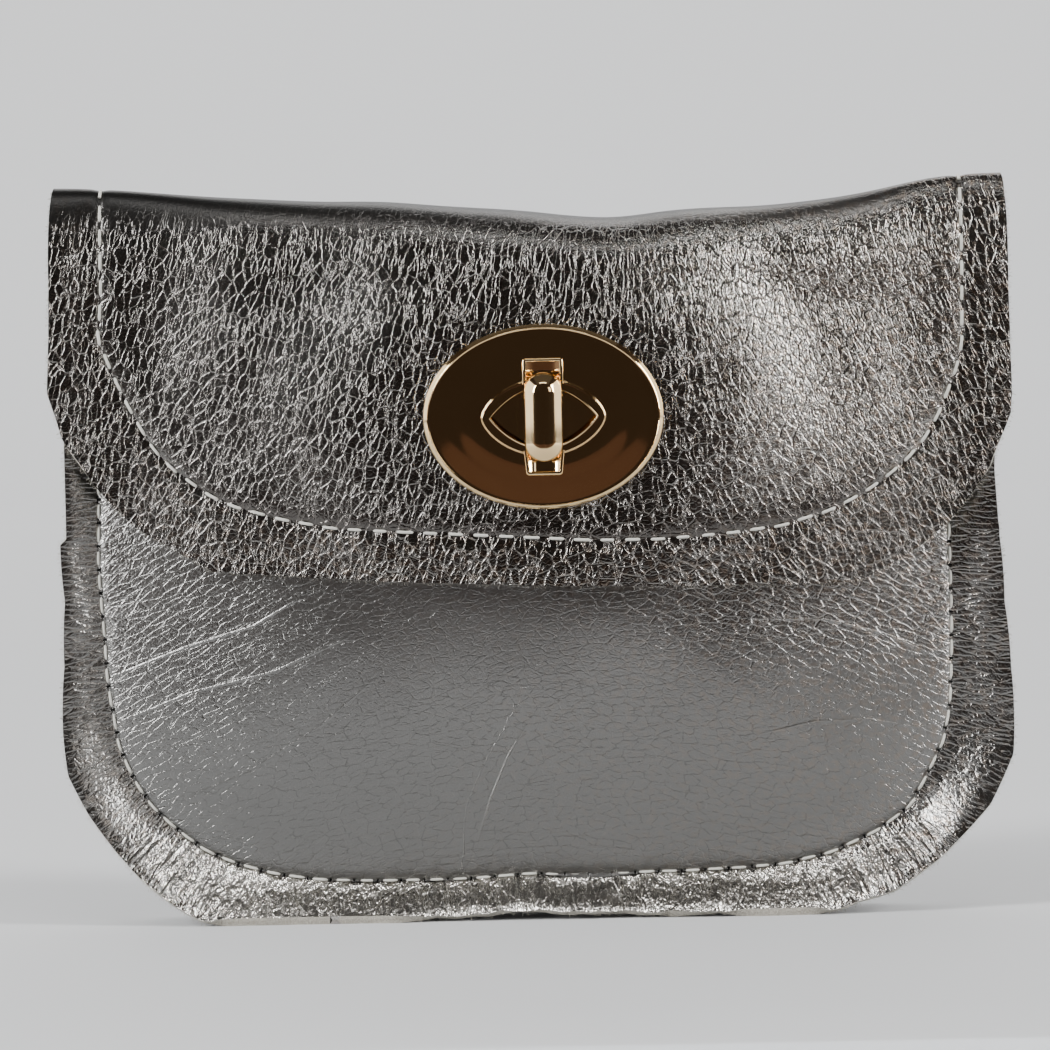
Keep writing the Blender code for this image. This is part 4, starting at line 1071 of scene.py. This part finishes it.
class Tree(Maker):
    """A Geometry Nodes tree that grows a shape along a line, with named inputs for its sizes."""

    def __init__(self, name, sizes):
        tree = bpy.data.node_groups.new(name, "GeometryNodeTree")
        super().__init__(tree)
        tree.interface.new_socket("Geometry", in_out="INPUT", socket_type="NodeSocketGeometry")
        for label, (kind, value) in sizes.items():
            socket = tree.interface.new_socket(label, in_out="INPUT", socket_type=kind)
            if kind != "NodeSocketMaterial":
                socket.default_value = value
        tree.interface.new_socket("Geometry", in_out="OUTPUT", socket_type="NodeSocketGeometry")
        self.group = tree.nodes.new("NodeGroupInput")

    def input(self, name):
        """What the modifier gives for one of the sizes."""
        return Value(self, self.group.outputs[name])

    def random(self, low, high, seed):
        """A random number, or a random vector between two corners, for each point."""
        kind = "VECTOR" if isinstance(low, tuple) else "VALUE"
        made = self.tree.nodes.new("FunctionNodeRandomValue")
        made.data_type = "FLOAT_VECTOR" if kind == "VECTOR" else "FLOAT"
        for socket in made.inputs:
            if socket.type == kind and socket.name in ("Min", "Max"):
                socket.default_value = low if socket.name == "Min" else high
            if socket.name == "Seed":
                socket.default_value = seed
        return Value(self, next(out for out in made.outputs if out.type == kind))

    def spread(self):
        """Even points along the incoming line, and the rotation whose Z is each one's outward vector."""
        curve = self.node("GeometryNodeMeshToCurve", inputs={0: self.input("Geometry")})
        inputs = {"Curve": curve, "Count": self.input("Count")}
        even = self.node("GeometryNodeResampleCurve", {"mode": "COUNT"}, inputs)
        points = self.node("GeometryNodeCurveToPoints", {"mode": "EVALUATED"}, {"Curve": even})
        ahead = {"Vector": Value(self, points.socket.node.outputs["Tangent"])}
        ahead = self.node("FunctionNodeAlignRotationToVector", {"axis": "X"}, ahead)
        settings = {"data_type": "FLOAT_VECTOR"}
        outward = self.node("GeometryNodeInputNamedAttribute", settings, {"Name": "outward"})
        settings, inputs = {"axis": "Z", "pivot_axis": "X"}, {"Rotation": ahead, "Vector": outward}
        return points, self.node("FunctionNodeAlignRotationToVector", settings, inputs)

    def line(self, start, end, count):
        """A straight line of this many points, and how far along it each of them is."""
        made = self.node("GeometryNodeCurvePrimitiveLine", inputs={"Start": start, "End": end})
        made = self.node("GeometryNodeResampleCurve", {"mode": "COUNT"}, {"Curve": made, "Count": count})
        return made, self.node("GeometryNodeSplineParameter")

    def tube(self, line, position, radius, sides):
        """A closed tube round a line whose points are moved to these positions."""
        line = self.node("GeometryNodeSetPosition", inputs={"Geometry": line, "Position": position})
        line = self.node("GeometryNodeSetCurveRadius", inputs={"Curve": line, "Radius": radius})
        inputs = {"Resolution": sides, "Radius": self.input("Radius")}
        ring = self.node("GeometryNodeCurvePrimitiveCircle", inputs=inputs)
        inputs = {"Curve": line, "Profile Curve": ring, "Fill Caps": True}
        return self.node("GeometryNodeCurveToMesh", inputs=inputs)

    def place(self, points, shape, rotation, scale):
        """Ends the tree: a copy of a shape on each point, made real and given the material."""
        inputs = {"Points": points, "Instance": shape, "Rotation": rotation, "Scale": scale}
        row = self.node("GeometryNodeInstanceOnPoints", inputs=inputs)
        row = self.node("GeometryNodeRealizeInstances", inputs={"Geometry": row})
        inputs = {"Geometry": row, "Material": self.input("Material")}
        row = self.node("GeometryNodeSetMaterial", inputs=inputs)
        end = self.tree.nodes.new("NodeGroupOutput")
        self.tree.links.new(row.socket, end.inputs["Geometry"])
        return self.tree


def fibre_tree():
    """Short bent fibres that stand out of a raw edge."""
    tree = Tree("edge_fibres", {
        "Count": ("NodeSocketInt", 10),
        "Length": ("NodeSocketFloat", 0.6 * MM),
        "Radius": ("NodeSocketFloat", 0.03 * MM),
        "Material": ("NodeSocketMaterial", None),
    })
    points, stand = tree.spread()
    turn = tree.random((-1.0, -1.0, -1.5), (1.0, 1.0, 1.5), 21)
    inputs = {"Rotation": stand, "Rotate By": turn}
    stand = tree.node("FunctionNodeRotateRotation", {"rotation_space": "LOCAL"}, inputs)
    line, factor = tree.line((0, 0, 0), (0, 0, 1), 4)
    length = tree.input("Length")
    bend = tree.vector(factor * factor * length * 0.45, 0.0, (factor - 0.3) * length)
    fibre = tree.tube(line, bend, 1.0 - factor * 0.7, 3)
    return tree.place(points, fibre, stand, tree.random((0.5, 0.5, 0.35), (1.2, 1.2, 1.7), 22))


def raw_edge_loop(points):
    """The raw edge round a skin's grid, and the direction in the sheet that leads out over it."""
    out = np.concatenate([
        points[:, 0] - points[:, 1], points[-1] - points[-2], (points[:, -1] - points[:, -2])[::-1],
        (points[0] - points[1])[::-1],
    ])
    loop = np.concatenate([points[:, 0], points[-1], points[::-1, -1], points[0][::-1]])
    keep = np.linalg.norm(loop - np.roll(loop, 1, axis=0), axis=1) > 1e-5
    return loop[keep], out[keep] / np.linalg.norm(out[keep], axis=1, keepdims=True)


def fibre_row(name, points, looks):
    """Loose fibres along the raw edges of a skin."""
    loop, outward = raw_edge_loop(points)
    made = route_object(name, loop, outward, closed=True)
    settings = {
        "Count": round(route_length(loop) / looks.fibre_spacing),
        "Length": looks.fibre_length,
        "Radius": looks.fibre_length * 0.05,
        "Material": bpy.data.materials["raw_edge"],
    }
    grow(made, bpy.data.node_groups.get("edge_fibres") or fibre_tree(), settings)
    places = np.empty(len(made.data.vertices) * 3)
    made.data.vertices.foreach_get("co", places)
    places[2::3] = np.maximum(places[2::3], 0)
    made.data.vertices.foreach_set("co", places)
    return made


def stitch_tree():
    """Copies of one stitch along a route."""
    tree = Tree("stitch_row", {
        "Count": ("NodeSocketInt", 10),
        "Length": ("NodeSocketFloat", 2.4 * MM),
        "Radius": ("NodeSocketFloat", 0.26 * MM),
        "Dip": ("NodeSocketFloat", 0.5 * MM),
        "Material": ("NodeSocketMaterial", None),
    })
    points, stand = tree.spread()
    line, factor = tree.line((-0.5, 0, 0), (0.5, 0, 0), 9)
    reach = (factor * 2 - 1).math("ABSOLUTE")
    place = tree.vector((factor - 0.5) * tree.input("Length"), 0.0, reach**3 * tree.input("Dip") * -1)
    stitch = tree.tube(line, place, 1.04 - reach**4 * 0.3, 8)
    stitch = tree.node("GeometryNodeSetShadeSmooth", inputs={"Geometry": stitch})
    return tree.place(points, stitch, stand, tree.random((0.9, 0.95, 1.0), (1.06, 1.05, 1.0), 11))


def route_object(name, route, outward, closed=False):
    """A line of corners that carries an outward direction at each of them."""
    mesh = bpy.data.meshes.new(name)
    edges = [(index, index + 1) for index in range(len(route) - 1)]
    if closed:
        edges.append((len(route) - 1, 0))
    mesh.from_pydata(route.tolist(), edges, [])
    layer = mesh.attributes.new("outward", "FLOAT_VECTOR", "POINT")
    layer.data.foreach_set("vector", outward.astype(np.float32).ravel())
    return placed(name, mesh)


def grow(made, tree, settings):
    """Runs a tree on an object with these inputs and keeps the result as its mesh."""
    step = made.modifiers.new("tree", "NODES")
    step.node_group = tree
    for item in tree.interface.items_tree:
        if item.in_out == "INPUT" and item.name in settings:
            step[item.identifier] = settings[item.name]
    finish_mesh(made)
    return made


def on_surface(route, points, normals, sway):
    """A route moved out to where the thread lies on a swaying sheet, and its outward directions."""
    tree = search_tree(points.reshape(-1, 3))
    near = [[index for _, index, _ in tree.find_n(place, 6)] for place in route]
    outward = normals.reshape(-1, 3)[near].mean(axis=1)
    outward /= np.linalg.norm(outward, axis=1, keepdims=True)
    lift = sway.reshape(-1)[near].mean(axis=1)
    return route + outward * (lift + LEATHER / 2 - THREAD_SINK)[:, None], outward


def stitch_row(name, route, outward, pitch, looks, closed=False):
    """One row of stitches as a mesh. Each lies between two needle holes, half a pitch from both."""
    if closed:
        route, outward = route[:-1], outward[:-1]
    made = route_object(name, route, outward, closed)
    whole = round(route_length(route) / pitch)
    settings = {
        "Count": whole + (0 if closed else 1),
        "Length": pitch * looks.shown_share,
        "Radius": looks.radius,
        "Dip": looks.radius * 1.9,
        "Material": bpy.data.materials.get("thread") or thread_finish(looks),
    }
    return grow(made, bpy.data.node_groups.get("stitch_row") or stitch_tree(), settings)


def hinged(behind, over):
    """The first piece stays where it is, and the second goes with the flap."""
    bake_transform(behind)
    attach(over, "flap")


def parted(made, name):
    """Takes the loose parts that lie on the back out of an object, into one of their own."""
    shape = bmesh.new()
    shape.from_mesh(made.data)
    seen, groups = set(), ([], [])
    for corner in shape.verts:
        if corner in seen:
            continue
        seen.add(corner)
        part = [corner]
        for at in part:
            for edge in at.link_edges:
                other = edge.other_vert(at)
                if other not in seen:
                    seen.add(other)
                    part.append(other)
        low = any(at.co.y > MIDDLE_Y and at.co.z < TURN_TOP for at in part)
        groups[low].extend(at.index for at in part)
    shape.free()
    behind = placed(name, made.data.copy())
    for target, gone in ((made, groups[True]), (behind, groups[False])):
        shape = bmesh.new()
        shape.from_mesh(target.data)
        shape.verts.ensure_lookup_table()
        bmesh.ops.delete(shape, geom=[shape.verts[index] for index in gone], context="VERTS")
        shape.to_mesh(target.data)
        shape.free()
    return behind


# What the stitches and the loose fibres lie on, kept by the operator that makes the skins
laid = {}


class PURSE_OT_skins(bpy.types.Operator):
    """Makes the three leather skins: the back, the fold and flap, and the front of the pocket"""

    bl_idname = "purse.skins"
    bl_label = "Leather skins"

    def execute(self, context):
        looks, stitches = context.scene.purse_leather, context.scene.purse_stitches
        loop_pitch = even_pitch(loop_route(roll_points()), stitches.flap_pitch)
        behind, over, lay, moved = back_and_flap_skins(looks, loop_pitch)
        laid["flap"] = lay, moved, loop_pitch
        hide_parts("back_panel")
        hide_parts("flap_panel")
        hinged(behind, over)
        front_pitch = even_pitch(front_route(), stitches.body_pitch)
        front, lay, moved = front_skin(looks, front_pitch)
        laid["front"] = lay, moved, front_pitch
        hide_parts("front_panel")
        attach(front, "purse")
        return {"FINISHED"}


class PURSE_OT_stitches(bpy.types.Operator):
    """Sews the round of stitches on the flap and back, and the row round the pocket"""

    bl_idname = "purse.stitches"
    bl_label = "Stitches"

    def execute(self, context):
        if not laid:
            raise RuntimeError("the leather skins are made before their stitches")
        stitches = context.scene.purse_stitches
        lay, _, pitch = laid["flap"]
        over = stitch_row("flap_stitches", *lay, pitch, stitches, closed=True)
        behind = parted(over, "back_stitches")
        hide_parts("flap_seam_thread")
        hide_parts("body_seam_thread_back")
        hinged(behind, over)
        lay, _, pitch = laid["front"]
        row = stitch_row("front_stitches", *lay, pitch, stitches)
        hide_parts("body_seam_thread_front")
        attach(row, "purse")
        return {"FINISHED"}


class PURSE_OT_fibres(bpy.types.Operator):
    """Makes the short fibres that stand out of the raw cut edges"""

    bl_idname = "purse.fibres"
    bl_label = "Edge fibres"

    def execute(self, context):
        if not laid:
            raise RuntimeError("the leather skins are made before their fibres")
        stitches = context.scene.purse_stitches
        over = fibre_row("flap_edge_fibres", laid["flap"][1], stitches)
        behind = parted(over, "back_edge_fibres")
        hinged(behind, over)
        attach(fibre_row("front_edge_fibres", laid["front"][1], stitches), "purse")
        return {"FINISHED"}


def lining_sheet(name, points, hole=None):
    """A suede sheet round a grid of points."""
    flat = np.stack([points[..., 0], points[..., 2], 0 * points[..., 0]], axis=-1)
    materials = [bpy.data.materials["suede_inside"]] * 2 + [bpy.data.materials["raw_edge"]]
    made = sheet_object(name, points, {"flat": flat}, materials, LINING, hole)
    return made


def flap_lining_points():
    """The second layer under the flap, cut just outside the flap's seam."""
    # Its lower edge is part of a superellipse below this height
    half, depth, power, turn = 63.6 * MM, 32.4 * MM, 2.5, 86 * MM
    angles = np.radians(np.concatenate([np.linspace(0, 60, 40), np.linspace(62, 84, 18)]))
    width = np.concatenate([[1], np.cos(angles) ** (2 / power)])[:, None]
    z = np.concatenate([[MOUTH], turn - depth * np.sin(angles) ** (2 / power)])[:, None]
    x = np.linspace(-1, 1, 97)[None, :] * half * width
    z = np.broadcast_to(z, x.shape)
    return np.stack([x, MIDDLE_Y - flap_depth(x, z) - LINING / 2, z], axis=-1)


class PURSE_OT_linings(bpy.types.Operator):
    """Makes the suede linings of the pocket and of the flap"""

    bl_idname = "purse.linings"
    bl_label = "Linings"

    def execute(self, context):
        depth = LAY_GAP / 2 + LINING / 2
        grid = body_grid(MOUTH, FRONT_ROWS, LINING_TRIM)
        points = front_face(*grid, depth)[::2, ::2]
        front = lining_sheet("front_lining_suede", points, oval_hole(*FRONT_HOLE))
        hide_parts("front_lining")
        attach(front, "purse")
        grid = body_grid(BACK_LINING_TOP, BACK_ROWS, LINING_TRIM)
        back = lining_sheet("back_lining_suede", back_face(*grid, depth)[::-2, ::2])
        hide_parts("back_lining")
        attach(back, "purse")
        under = lining_sheet("flap_lining_suede", flap_lining_points(), oval_hole(*FLAP_HOLE))
        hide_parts("flap_lining")
        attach(under, "flap")
        return {"FINISHED"}


# Section of the lock's plate: millimetres in from the rim towards the opening, and forwards from its back
PLATE_SECTION = (
    (0.06, 0), (0, 0.2), (0, 0.42), (0.03, 0.5), (0.46, 0.93), (0.52, 0.95), (0.58, 0.93), (0.66, 0.88),
    (0.85, 0.86), (1.5, 0.93), (2.4, 1.04), (3.2, 1.14), (3.8, 1.19), (4.4, 1.25), (5.2, 1.36), (6, 1.44),
    (6.8, 1.47), (7.4, 1.46), (7.8, 1.45), (7.98, 1.48), (8.02, 1.62), (8.06, 1.78), (8.12, 1.86),
    (8.2, 1.88), (8.4, 1.86), (8.9, 1.84), (9.05, 1.87), (9.14, 1.91), (9.22, 1.89), (9.28, 1.8),
    (9.3, 1.65), (9.3, 1.35), (9.24, 1.22), (8.4, 1.05), (6, 1.05), (4.2, 0.95), (2.3, 0.52), (1.2, 0.12),
    (0.8, 0),
)
PLATE_REACH = 9.3
OPENING_HALF = (7.45 * MM, 4.2 * MM)
FRONT_FACE_Y = MIDDLE_Y - LOCK_DEPTH

# Depths are forwards of the front panel's face
PLATE_BACK = 3.3 * MM
SEAT_FRONT = 5.7 * MM
BAR_BACK = 5.9 * MM
BAR_HALF = (2.7 * MM, 6.25 * MM)
SCREW_REACH = 13.2 * MM

# Section of the bar: millimetres in from its outline, and forwards from its back
BAR_SECTION = (
    (0.5, 0), (0.2, 0.06), (0.04, 0.22), (0, 0.5), (0.02, 0.75), (0.1, 0.95), (0.25, 1.13), (1.15, 1.93),
    (1.32, 2.06), (1.55, 2.18), (1.85, 2.28), (2.2, 2.35), (2.6, 2.4),
)
# Section of a seat's wall: millimetres in from its outside, and forwards
LIP_SECTION = ((0, 0), (0, 0.75), (0.1, 0.9), (0.28, 0.95), (0.46, 0.9), (0.55, 0.75), (0.55, 0))
# A seat's floor: shares of its half width, and of its climb beside the walls
SEAT_SHARES = (0.3, 0.46, 0.56, 0.7, 0.86, 1)
SEAT_CLIMBS = (0, 0.01, 0.08, 0.3, 0.66, 1)
# Turned solids: radius and depth in millimetres, from their back to their front
STEM_SECTION = ((0.8, -2.1), (0.8, -0.4), (1.25, -0.4), (1.25, 6.6))
POST_SECTION = ((1.4, 1.9), (1.4, 4.2))
STEEL_COLOR = (0.6, 0.59, 0.57)


def at_lock(across, up, depth):
    """Points placed from the lock's middle and forwards of the front panel's face."""
    return np.stack([LOCK_X + across, FRONT_FACE_Y - depth + 0 * across, LOCK_Z + up], axis=-1)


def rounded(section):
    """A smooth closed curve through the corners of a section, with one more point between each two."""
    before, after, beyond = (np.roll(table(section), step, axis=0) for step in (1, -1, -2))
    corner = table(section)
    middle = (9 * (corner + after) - before - beyond) / 16
    return np.stack([corner, middle], axis=1).reshape(-1, 2)


def loft(shape, rings, around=True, across=False, caps=False):
    """Adds a skin over rings of points to a shape. The rings may join round, and the last to the first."""
    rows = [[shape.verts.new(point) for point in ring] for ring in rings]
    pairs = list(zip(rows, rows[1:])) + ([(rows[-1], rows[0])] if across else [])
    for first, second in pairs:
        size = len(first)
        for index in range(size if around else size - 1):
            after = (index + 1) % size
            shape.faces.new((first[index], first[after], second[after], second[index]))
    if caps:
        shape.faces.new(rows[0][::-1])
        shape.faces.new(rows[-1])


def solid_object(name, shape, material):
    """An object from a shape of closed skins, with its faces outwards."""
    bmesh.ops.remove_doubles(shape, verts=shape.verts[:], dist=1e-7)
    bmesh.ops.recalc_face_normals(shape, faces=shape.faces[:])
    made = placed(name, shape_mesh(name, shape))
    made.data.materials.append(material)
    finish_mesh(made, 50)
    return made


def add_plate(shape, sides):
    """The domed plate with its rolled rim and its collar round the eye-shaped opening."""
    turn = np.linspace(0, 2 * math.pi, sides, endpoint=False)
    rim = np.stack([PLATE_HALF[0] * np.cos(turn), PLATE_HALF[1] * np.sin(turn)])
    rings = []
    for inwards, height in rounded(PLATE_SECTION):
        # The opening's ends are nearly points, and the collar's outer ends are round
        slim = 0.45 + 0.45 * float(smooth((inwards - 8.1) / 1.2))
        rise = np.sin(turn) * np.abs(np.sin(turn)) ** slim
        eye = np.stack([OPENING_HALF[0] * np.cos(turn), OPENING_HALF[1] * rise])
        across, up = rim + (eye - rim) * inwards / PLATE_REACH
        rings.append(at_lock(across, up, PLATE_BACK + height * MM))
    loft(shape, rings, across=True)


def add_seat(shape, side, outer_half, reach):
    """One cup for an end of the bar: a wall round three sides, open towards the opening, and its floor."""
    inner, wall, corner = 4.7 * MM, 0.55 * MM, 0.5 * MM
    inner_half = 2.9 * MM
    turns = np.radians(np.linspace(0, 90, 6))
    bend_x = outer_half - corner + corner * np.cos(turns)
    bend_z = reach - corner + corner * np.sin(turns)
    route_x = np.concatenate([[inner_half], bend_x, -bend_x[::-1], [-inner_half]])
    route_z = np.concatenate([[inner], bend_z, bend_z[::-1], [inner]])
    step = np.stack([np.gradient(route_x), np.gradient(route_z)], axis=1)
    step /= np.linalg.norm(step, axis=1, keepdims=True)
    outward = np.stack([step[:, 1], -step[:, 0]], axis=1)
    lip = table(LIP_SECTION)
    front = SEAT_FRONT - 0.95 * MM
    rings = []
    for x, z, normal in zip(route_x, route_z, outward):
        across, up = x - normal[0] * lip[:, 0] * MM, z - normal[1] * lip[:, 0] * MM
        rings.append(at_lock(across, side * up, front + lip[:, 1] * MM))
    loft(shape, rings, caps=True)
    # Its floor is a trough: flat in the middle and steep beside the walls
    x0, z0, z1 = outer_half - wall / 2, inner, reach - wall / 2
    shares, climbs = table(SEAT_SHARES), table(SEAT_CLIMBS)
    share = np.concatenate([-shares[::-1], [0], shares])
    climb = np.concatenate([climbs[::-1], [0], climbs]) * 0.75 * MM
    low, high = PLATE_BACK + 1.2 * MM, SEAT_FRONT - 1.1 * MM
    across = np.concatenate([share * x0, [x0, -x0]])
    depth = np.concatenate([high + climb, [low, low]])
    tilt = np.concatenate([np.full(len(share), 0.3 * MM), [0, 0]])
    inner_ring = at_lock(across, 0 * across + side * z0, depth)
    loft(shape, [inner_ring, at_lock(across, 0 * across + side * z1, depth + tilt)], caps=True)


def add_turned(shape, place, section, sides):
    """A turned solid round an axis that points forwards."""
    turn = np.linspace(0, 2 * math.pi, sides, endpoint=False)
    rings = []
    for radius, depth in table(section) * MM:
        rings.append(at_lock(place + radius * np.cos(turn), radius * np.sin(turn), depth))
    loft(shape, rings, caps=True)


def add_bar(shape):
    """The bar: a slim rounded oblong whose front is a little crowned."""
    bow = np.radians(np.linspace(-90, 90, 33))
    straight = BAR_HALF[1] - BAR_HALF[0]
    rings = []
    for inset, height in BAR_SECTION:
        radius = BAR_HALF[0] - inset * MM
        across = np.concatenate([-radius * np.sin(bow), radius * np.sin(bow)])
        up = np.concatenate([straight + radius * np.cos(bow), -straight - radius * np.cos(bow)])
        rings.append(at_lock(across, up, BAR_BACK + height * MM))
    loft(shape, rings, caps=True)


class PURSE_OT_lock(bpy.types.Operator):
    """Makes the lock's smooth plate and turning bar, and finishes its base and hidden fittings"""

    bl_idname = "purse.lock"
    bl_label = "Lock"

    def execute(self, context):
        looks = context.scene.purse_lock
        gold = metal_finish("polished_gold", looks.gold_color, looks.gold_roughness, 0.03)
        steel = metal_finish("bright_steel", STEEL_COLOR, 0.22, 0.15)
        shape = bmesh.new()
        add_plate(shape, looks.sides)
        add_seat(shape, 1, 2.9 * MM, 8.35 * MM)
        add_seat(shape, -1, 2.6 * MM, 8.2 * MM)
        for side in (-1, 1):
            add_turned(shape, side * SCREW_REACH, POST_SECTION, 24)
        plate = solid_object("lock_plate_polished", shape, gold)
        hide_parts("lock_plate")
        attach(plate, "flap")
        shape = bmesh.new()
        add_bar(shape)
        add_turned(shape, 0, STEM_SECTION, 32)
        bar = solid_object("turn_bar_polished", shape, gold)
        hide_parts("turn_bar")
        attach(bar, "bar")
        for name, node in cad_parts.items():
            if not node.hide_render:
                for held in node.material_slots:
                    held.material = gold if name == "turn_base" else steel
        return {"FINISHED"}


PURSE_MIDDLE = (0, 0, 0.06)
WHITE = (1, 1, 1)
# Each lamp's name, place, target, width and height in metres, strength in watts, and colour
LAMPS = (
    ("left_box", (-0.68, -0.34, 0.36), PURSE_MIDDLE, (0.12, 0.55), 9.5, WHITE),
    ("right_box", (0.74, -0.24, 0.36), PURSE_MIDDLE, (0.12, 0.55), 8.5, WHITE),
    ("front_card", (0.74, -0.92, 0.4), PURSE_MIDDLE, (0.36, 0.5), 1.6, (1, 0.96, 0.92)),
    ("left_wall", (-0.62, 0.12, 0.3), (0, 0.12, 0.2), (0.75, 0.55), 2.6, WHITE),
    ("right_wall", (0.66, 0.16, 0.3), (0, 0.16, 0.2), (0.6, 0.55), 1.9, WHITE),
    ("backdrop_box", (0, 1.0, 0.9), (0, 1.12, 0), (1.8, 0.9), 14.6, WHITE),
    ("ceiling", (0, 0, 1.1), (0, 0, 0), (1.4, 1.2), 0.3, WHITE),
    ("top_box", (0, -0.34, 0.9), PURSE_MIDDLE, (0.6, 0.16), 1.1, WHITE),
)
# The studio's paper is paler at the back, with soft clouds, and plain near the purse
NEAR_PAPER = (0.62, 0.63, 0.64)
FAR_PAPER = ((0.70, 0.71, 0.72), (0.74, 0.75, 0.76))
DARK_CARD = (0.05, 0.026, 0.018)
ROOM_COLOR = (0.034, 0.025, 0.020)
PAPER_SIDE, PAPER_FRONT = 1.6, -0.42
AIM = (-1.6 * MM, -6 * MM, 57.1 * MM)


def area_light(name, place, target, size, energy, color):
    """A lamp that shines from a rectangle towards a target."""
    light = bpy.data.lights.new(name, "AREA")
    light.shape = "RECTANGLE"
    light.size, light.size_y = size
    light.energy = energy
    light.color = color
    made = placed(name, light)
    made.location = place
    made.rotation_euler = (Vector(target) - Vector(place)).to_track_quat("-Z", "Y").to_euler()


def swept_floor():
    """A pale sheet that runs under the purse and curves up behind it."""
    back, bend, top = 1.6, 0.6, 0.9
    turns = np.linspace(0, math.pi / 2, 16)
    line = [(PAPER_FRONT, 0), (0, 0)]
    line += [(back - bend + bend * math.sin(turn), bend - bend * math.cos(turn)) for turn in turns]
    line.append((back, top))
    shape = bmesh.new()
    rows = [[(side * PAPER_SIDE, y, z) for y, z in line] for side in (1, 0.5, 0, -0.5, -1)]
    loft(shape, rows, around=False)
    made = placed("floor", shape_mesh("floor", shape))
    made.data.shade_smooth()
    return made


def reflector():
    """A dark card ahead of the purse. Only reflections see it, so the floor is pale from every side."""
    edge, fade = -0.112, -0.16
    ends = ((-1, PAPER_FRONT), (1, PAPER_FRONT), (1, edge), (-1, edge))
    mesh = bpy.data.meshes.new("reflector")
    mesh.from_pydata([(side * PAPER_SIDE, y, 1 * MM) for side, y in ends], [], [(0, 1, 2, 3)])
    made = placed("reflector", mesh)
    made.visible_camera = False
    made.visible_shadow = False
    card = Finish("reflector_card", {"Roughness": 0.9, "Specular IOR Level": 0.1})
    ahead = card.xyz(card.place())[1].ramp(edge, fade)
    card.drive("Base Color", card.blend(ahead, NEAR_PAPER, DARK_CARD))
    mesh.materials.append(card.material)


def aimed_camera(looks):
    """The camera, which looks slightly down at the purse and is rolled a little."""
    camera = placed("camera", bpy.data.cameras.new("camera"))
    back = Vector((0, -math.cos(looks.elevation), math.sin(looks.elevation)))
    turn = (-back).to_track_quat("-Z", "Y").to_matrix() @ Matrix.Rotation(-looks.roll, 3, "Z")
    camera.matrix_world = Matrix.Translation(Vector(AIM) + back * looks.distance) @ turn.to_4x4()
    camera.data.sensor_width = 36
    camera.data.lens = 36 * looks.distance / looks.view_width
    camera.data.clip_start = 0.01
    return camera


class PURSE_OT_studio(bpy.types.Operator):
    """Makes the floor, the lights and the camera"""

    bl_idname = "purse.studio"
    bl_label = "Studio"

    def execute(self, context):
        looks = context.scene.purse_studio
        floor = swept_floor()
        paper = Finish("studio_paper", {"Roughness": 0.9, "Specular IOR Level": 0.1})
        place = paper.place()
        pale = paper.blend(paper.noise(place, 3.0, 2.0), *FAR_PAPER)
        near = paper.xyz(place)[1].ramp(0.9, -0.05)
        paper.drive("Base Color", paper.blend(near, pale, NEAR_PAPER))
        floor.data.materials.append(paper.material)
        reflector()
        context.scene.camera = aimed_camera(looks)
        for name, place, target, size, energy, color in LAMPS:
            area_light(name, place, target, size, energy * looks.light, color)
        world = bpy.data.worlds.new("studio")
        world.use_nodes = True
        background = world.node_tree.nodes["Background"].inputs
        background["Color"].default_value = (*ROOM_COLOR, 1)
        background["Strength"].default_value = 1
        context.scene.world = world
        return {"FINISHED"}


class PURSE_PT_panel(bpy.types.Panel):
    """Buttons for each group of pieces"""

    bl_idname = "PURSE_PT_panel"
    bl_label = "Purse"
    bl_space_type = "VIEW_3D"
    bl_region_type = "UI"
    bl_category = "Purse"

    def draw(self, context):
        for name, _ in SETTINGS:
            group = getattr(context.scene, name)
            box = self.layout.box()
            for label in group.__annotations__:
                box.prop(group, label)
        for operator in OPERATORS:
            self.layout.operator(operator.bl_idname)


SETTINGS = (
    ("purse_leather", LeatherLooks),
    ("purse_stitches", StitchLooks),
    ("purse_lock", LockLooks),
    ("purse_studio", StudioLooks),
)
OPERATORS = (
    PURSE_OT_studio,
    PURSE_OT_skins,
    PURSE_OT_stitches,
    PURSE_OT_fibres,
    PURSE_OT_linings,
    PURSE_OT_lock,
)


def register():
    for name, group in SETTINGS:
        bpy.utils.register_class(group)
        setattr(bpy.types.Scene, name, PointerProperty(type=group))
    for operator in OPERATORS:
        bpy.utils.register_class(operator)
    bpy.utils.register_class(PURSE_PT_panel)


def unregister():
    bpy.utils.unregister_class(PURSE_PT_panel)
    for operator in reversed(OPERATORS):
        bpy.utils.unregister_class(operator)
    for name, group in reversed(SETTINGS):
        delattr(bpy.types.Scene, name)
        bpy.utils.unregister_class(group)


def main():
    """Makes everything."""
    register()
    bpy.ops.purse.studio()
    bpy.ops.purse.skins()
    bpy.ops.purse.stitches()
    bpy.ops.purse.fibres()
    bpy.ops.purse.linings()
    bpy.ops.purse.lock()


if __name__ == "__main__":
    main()
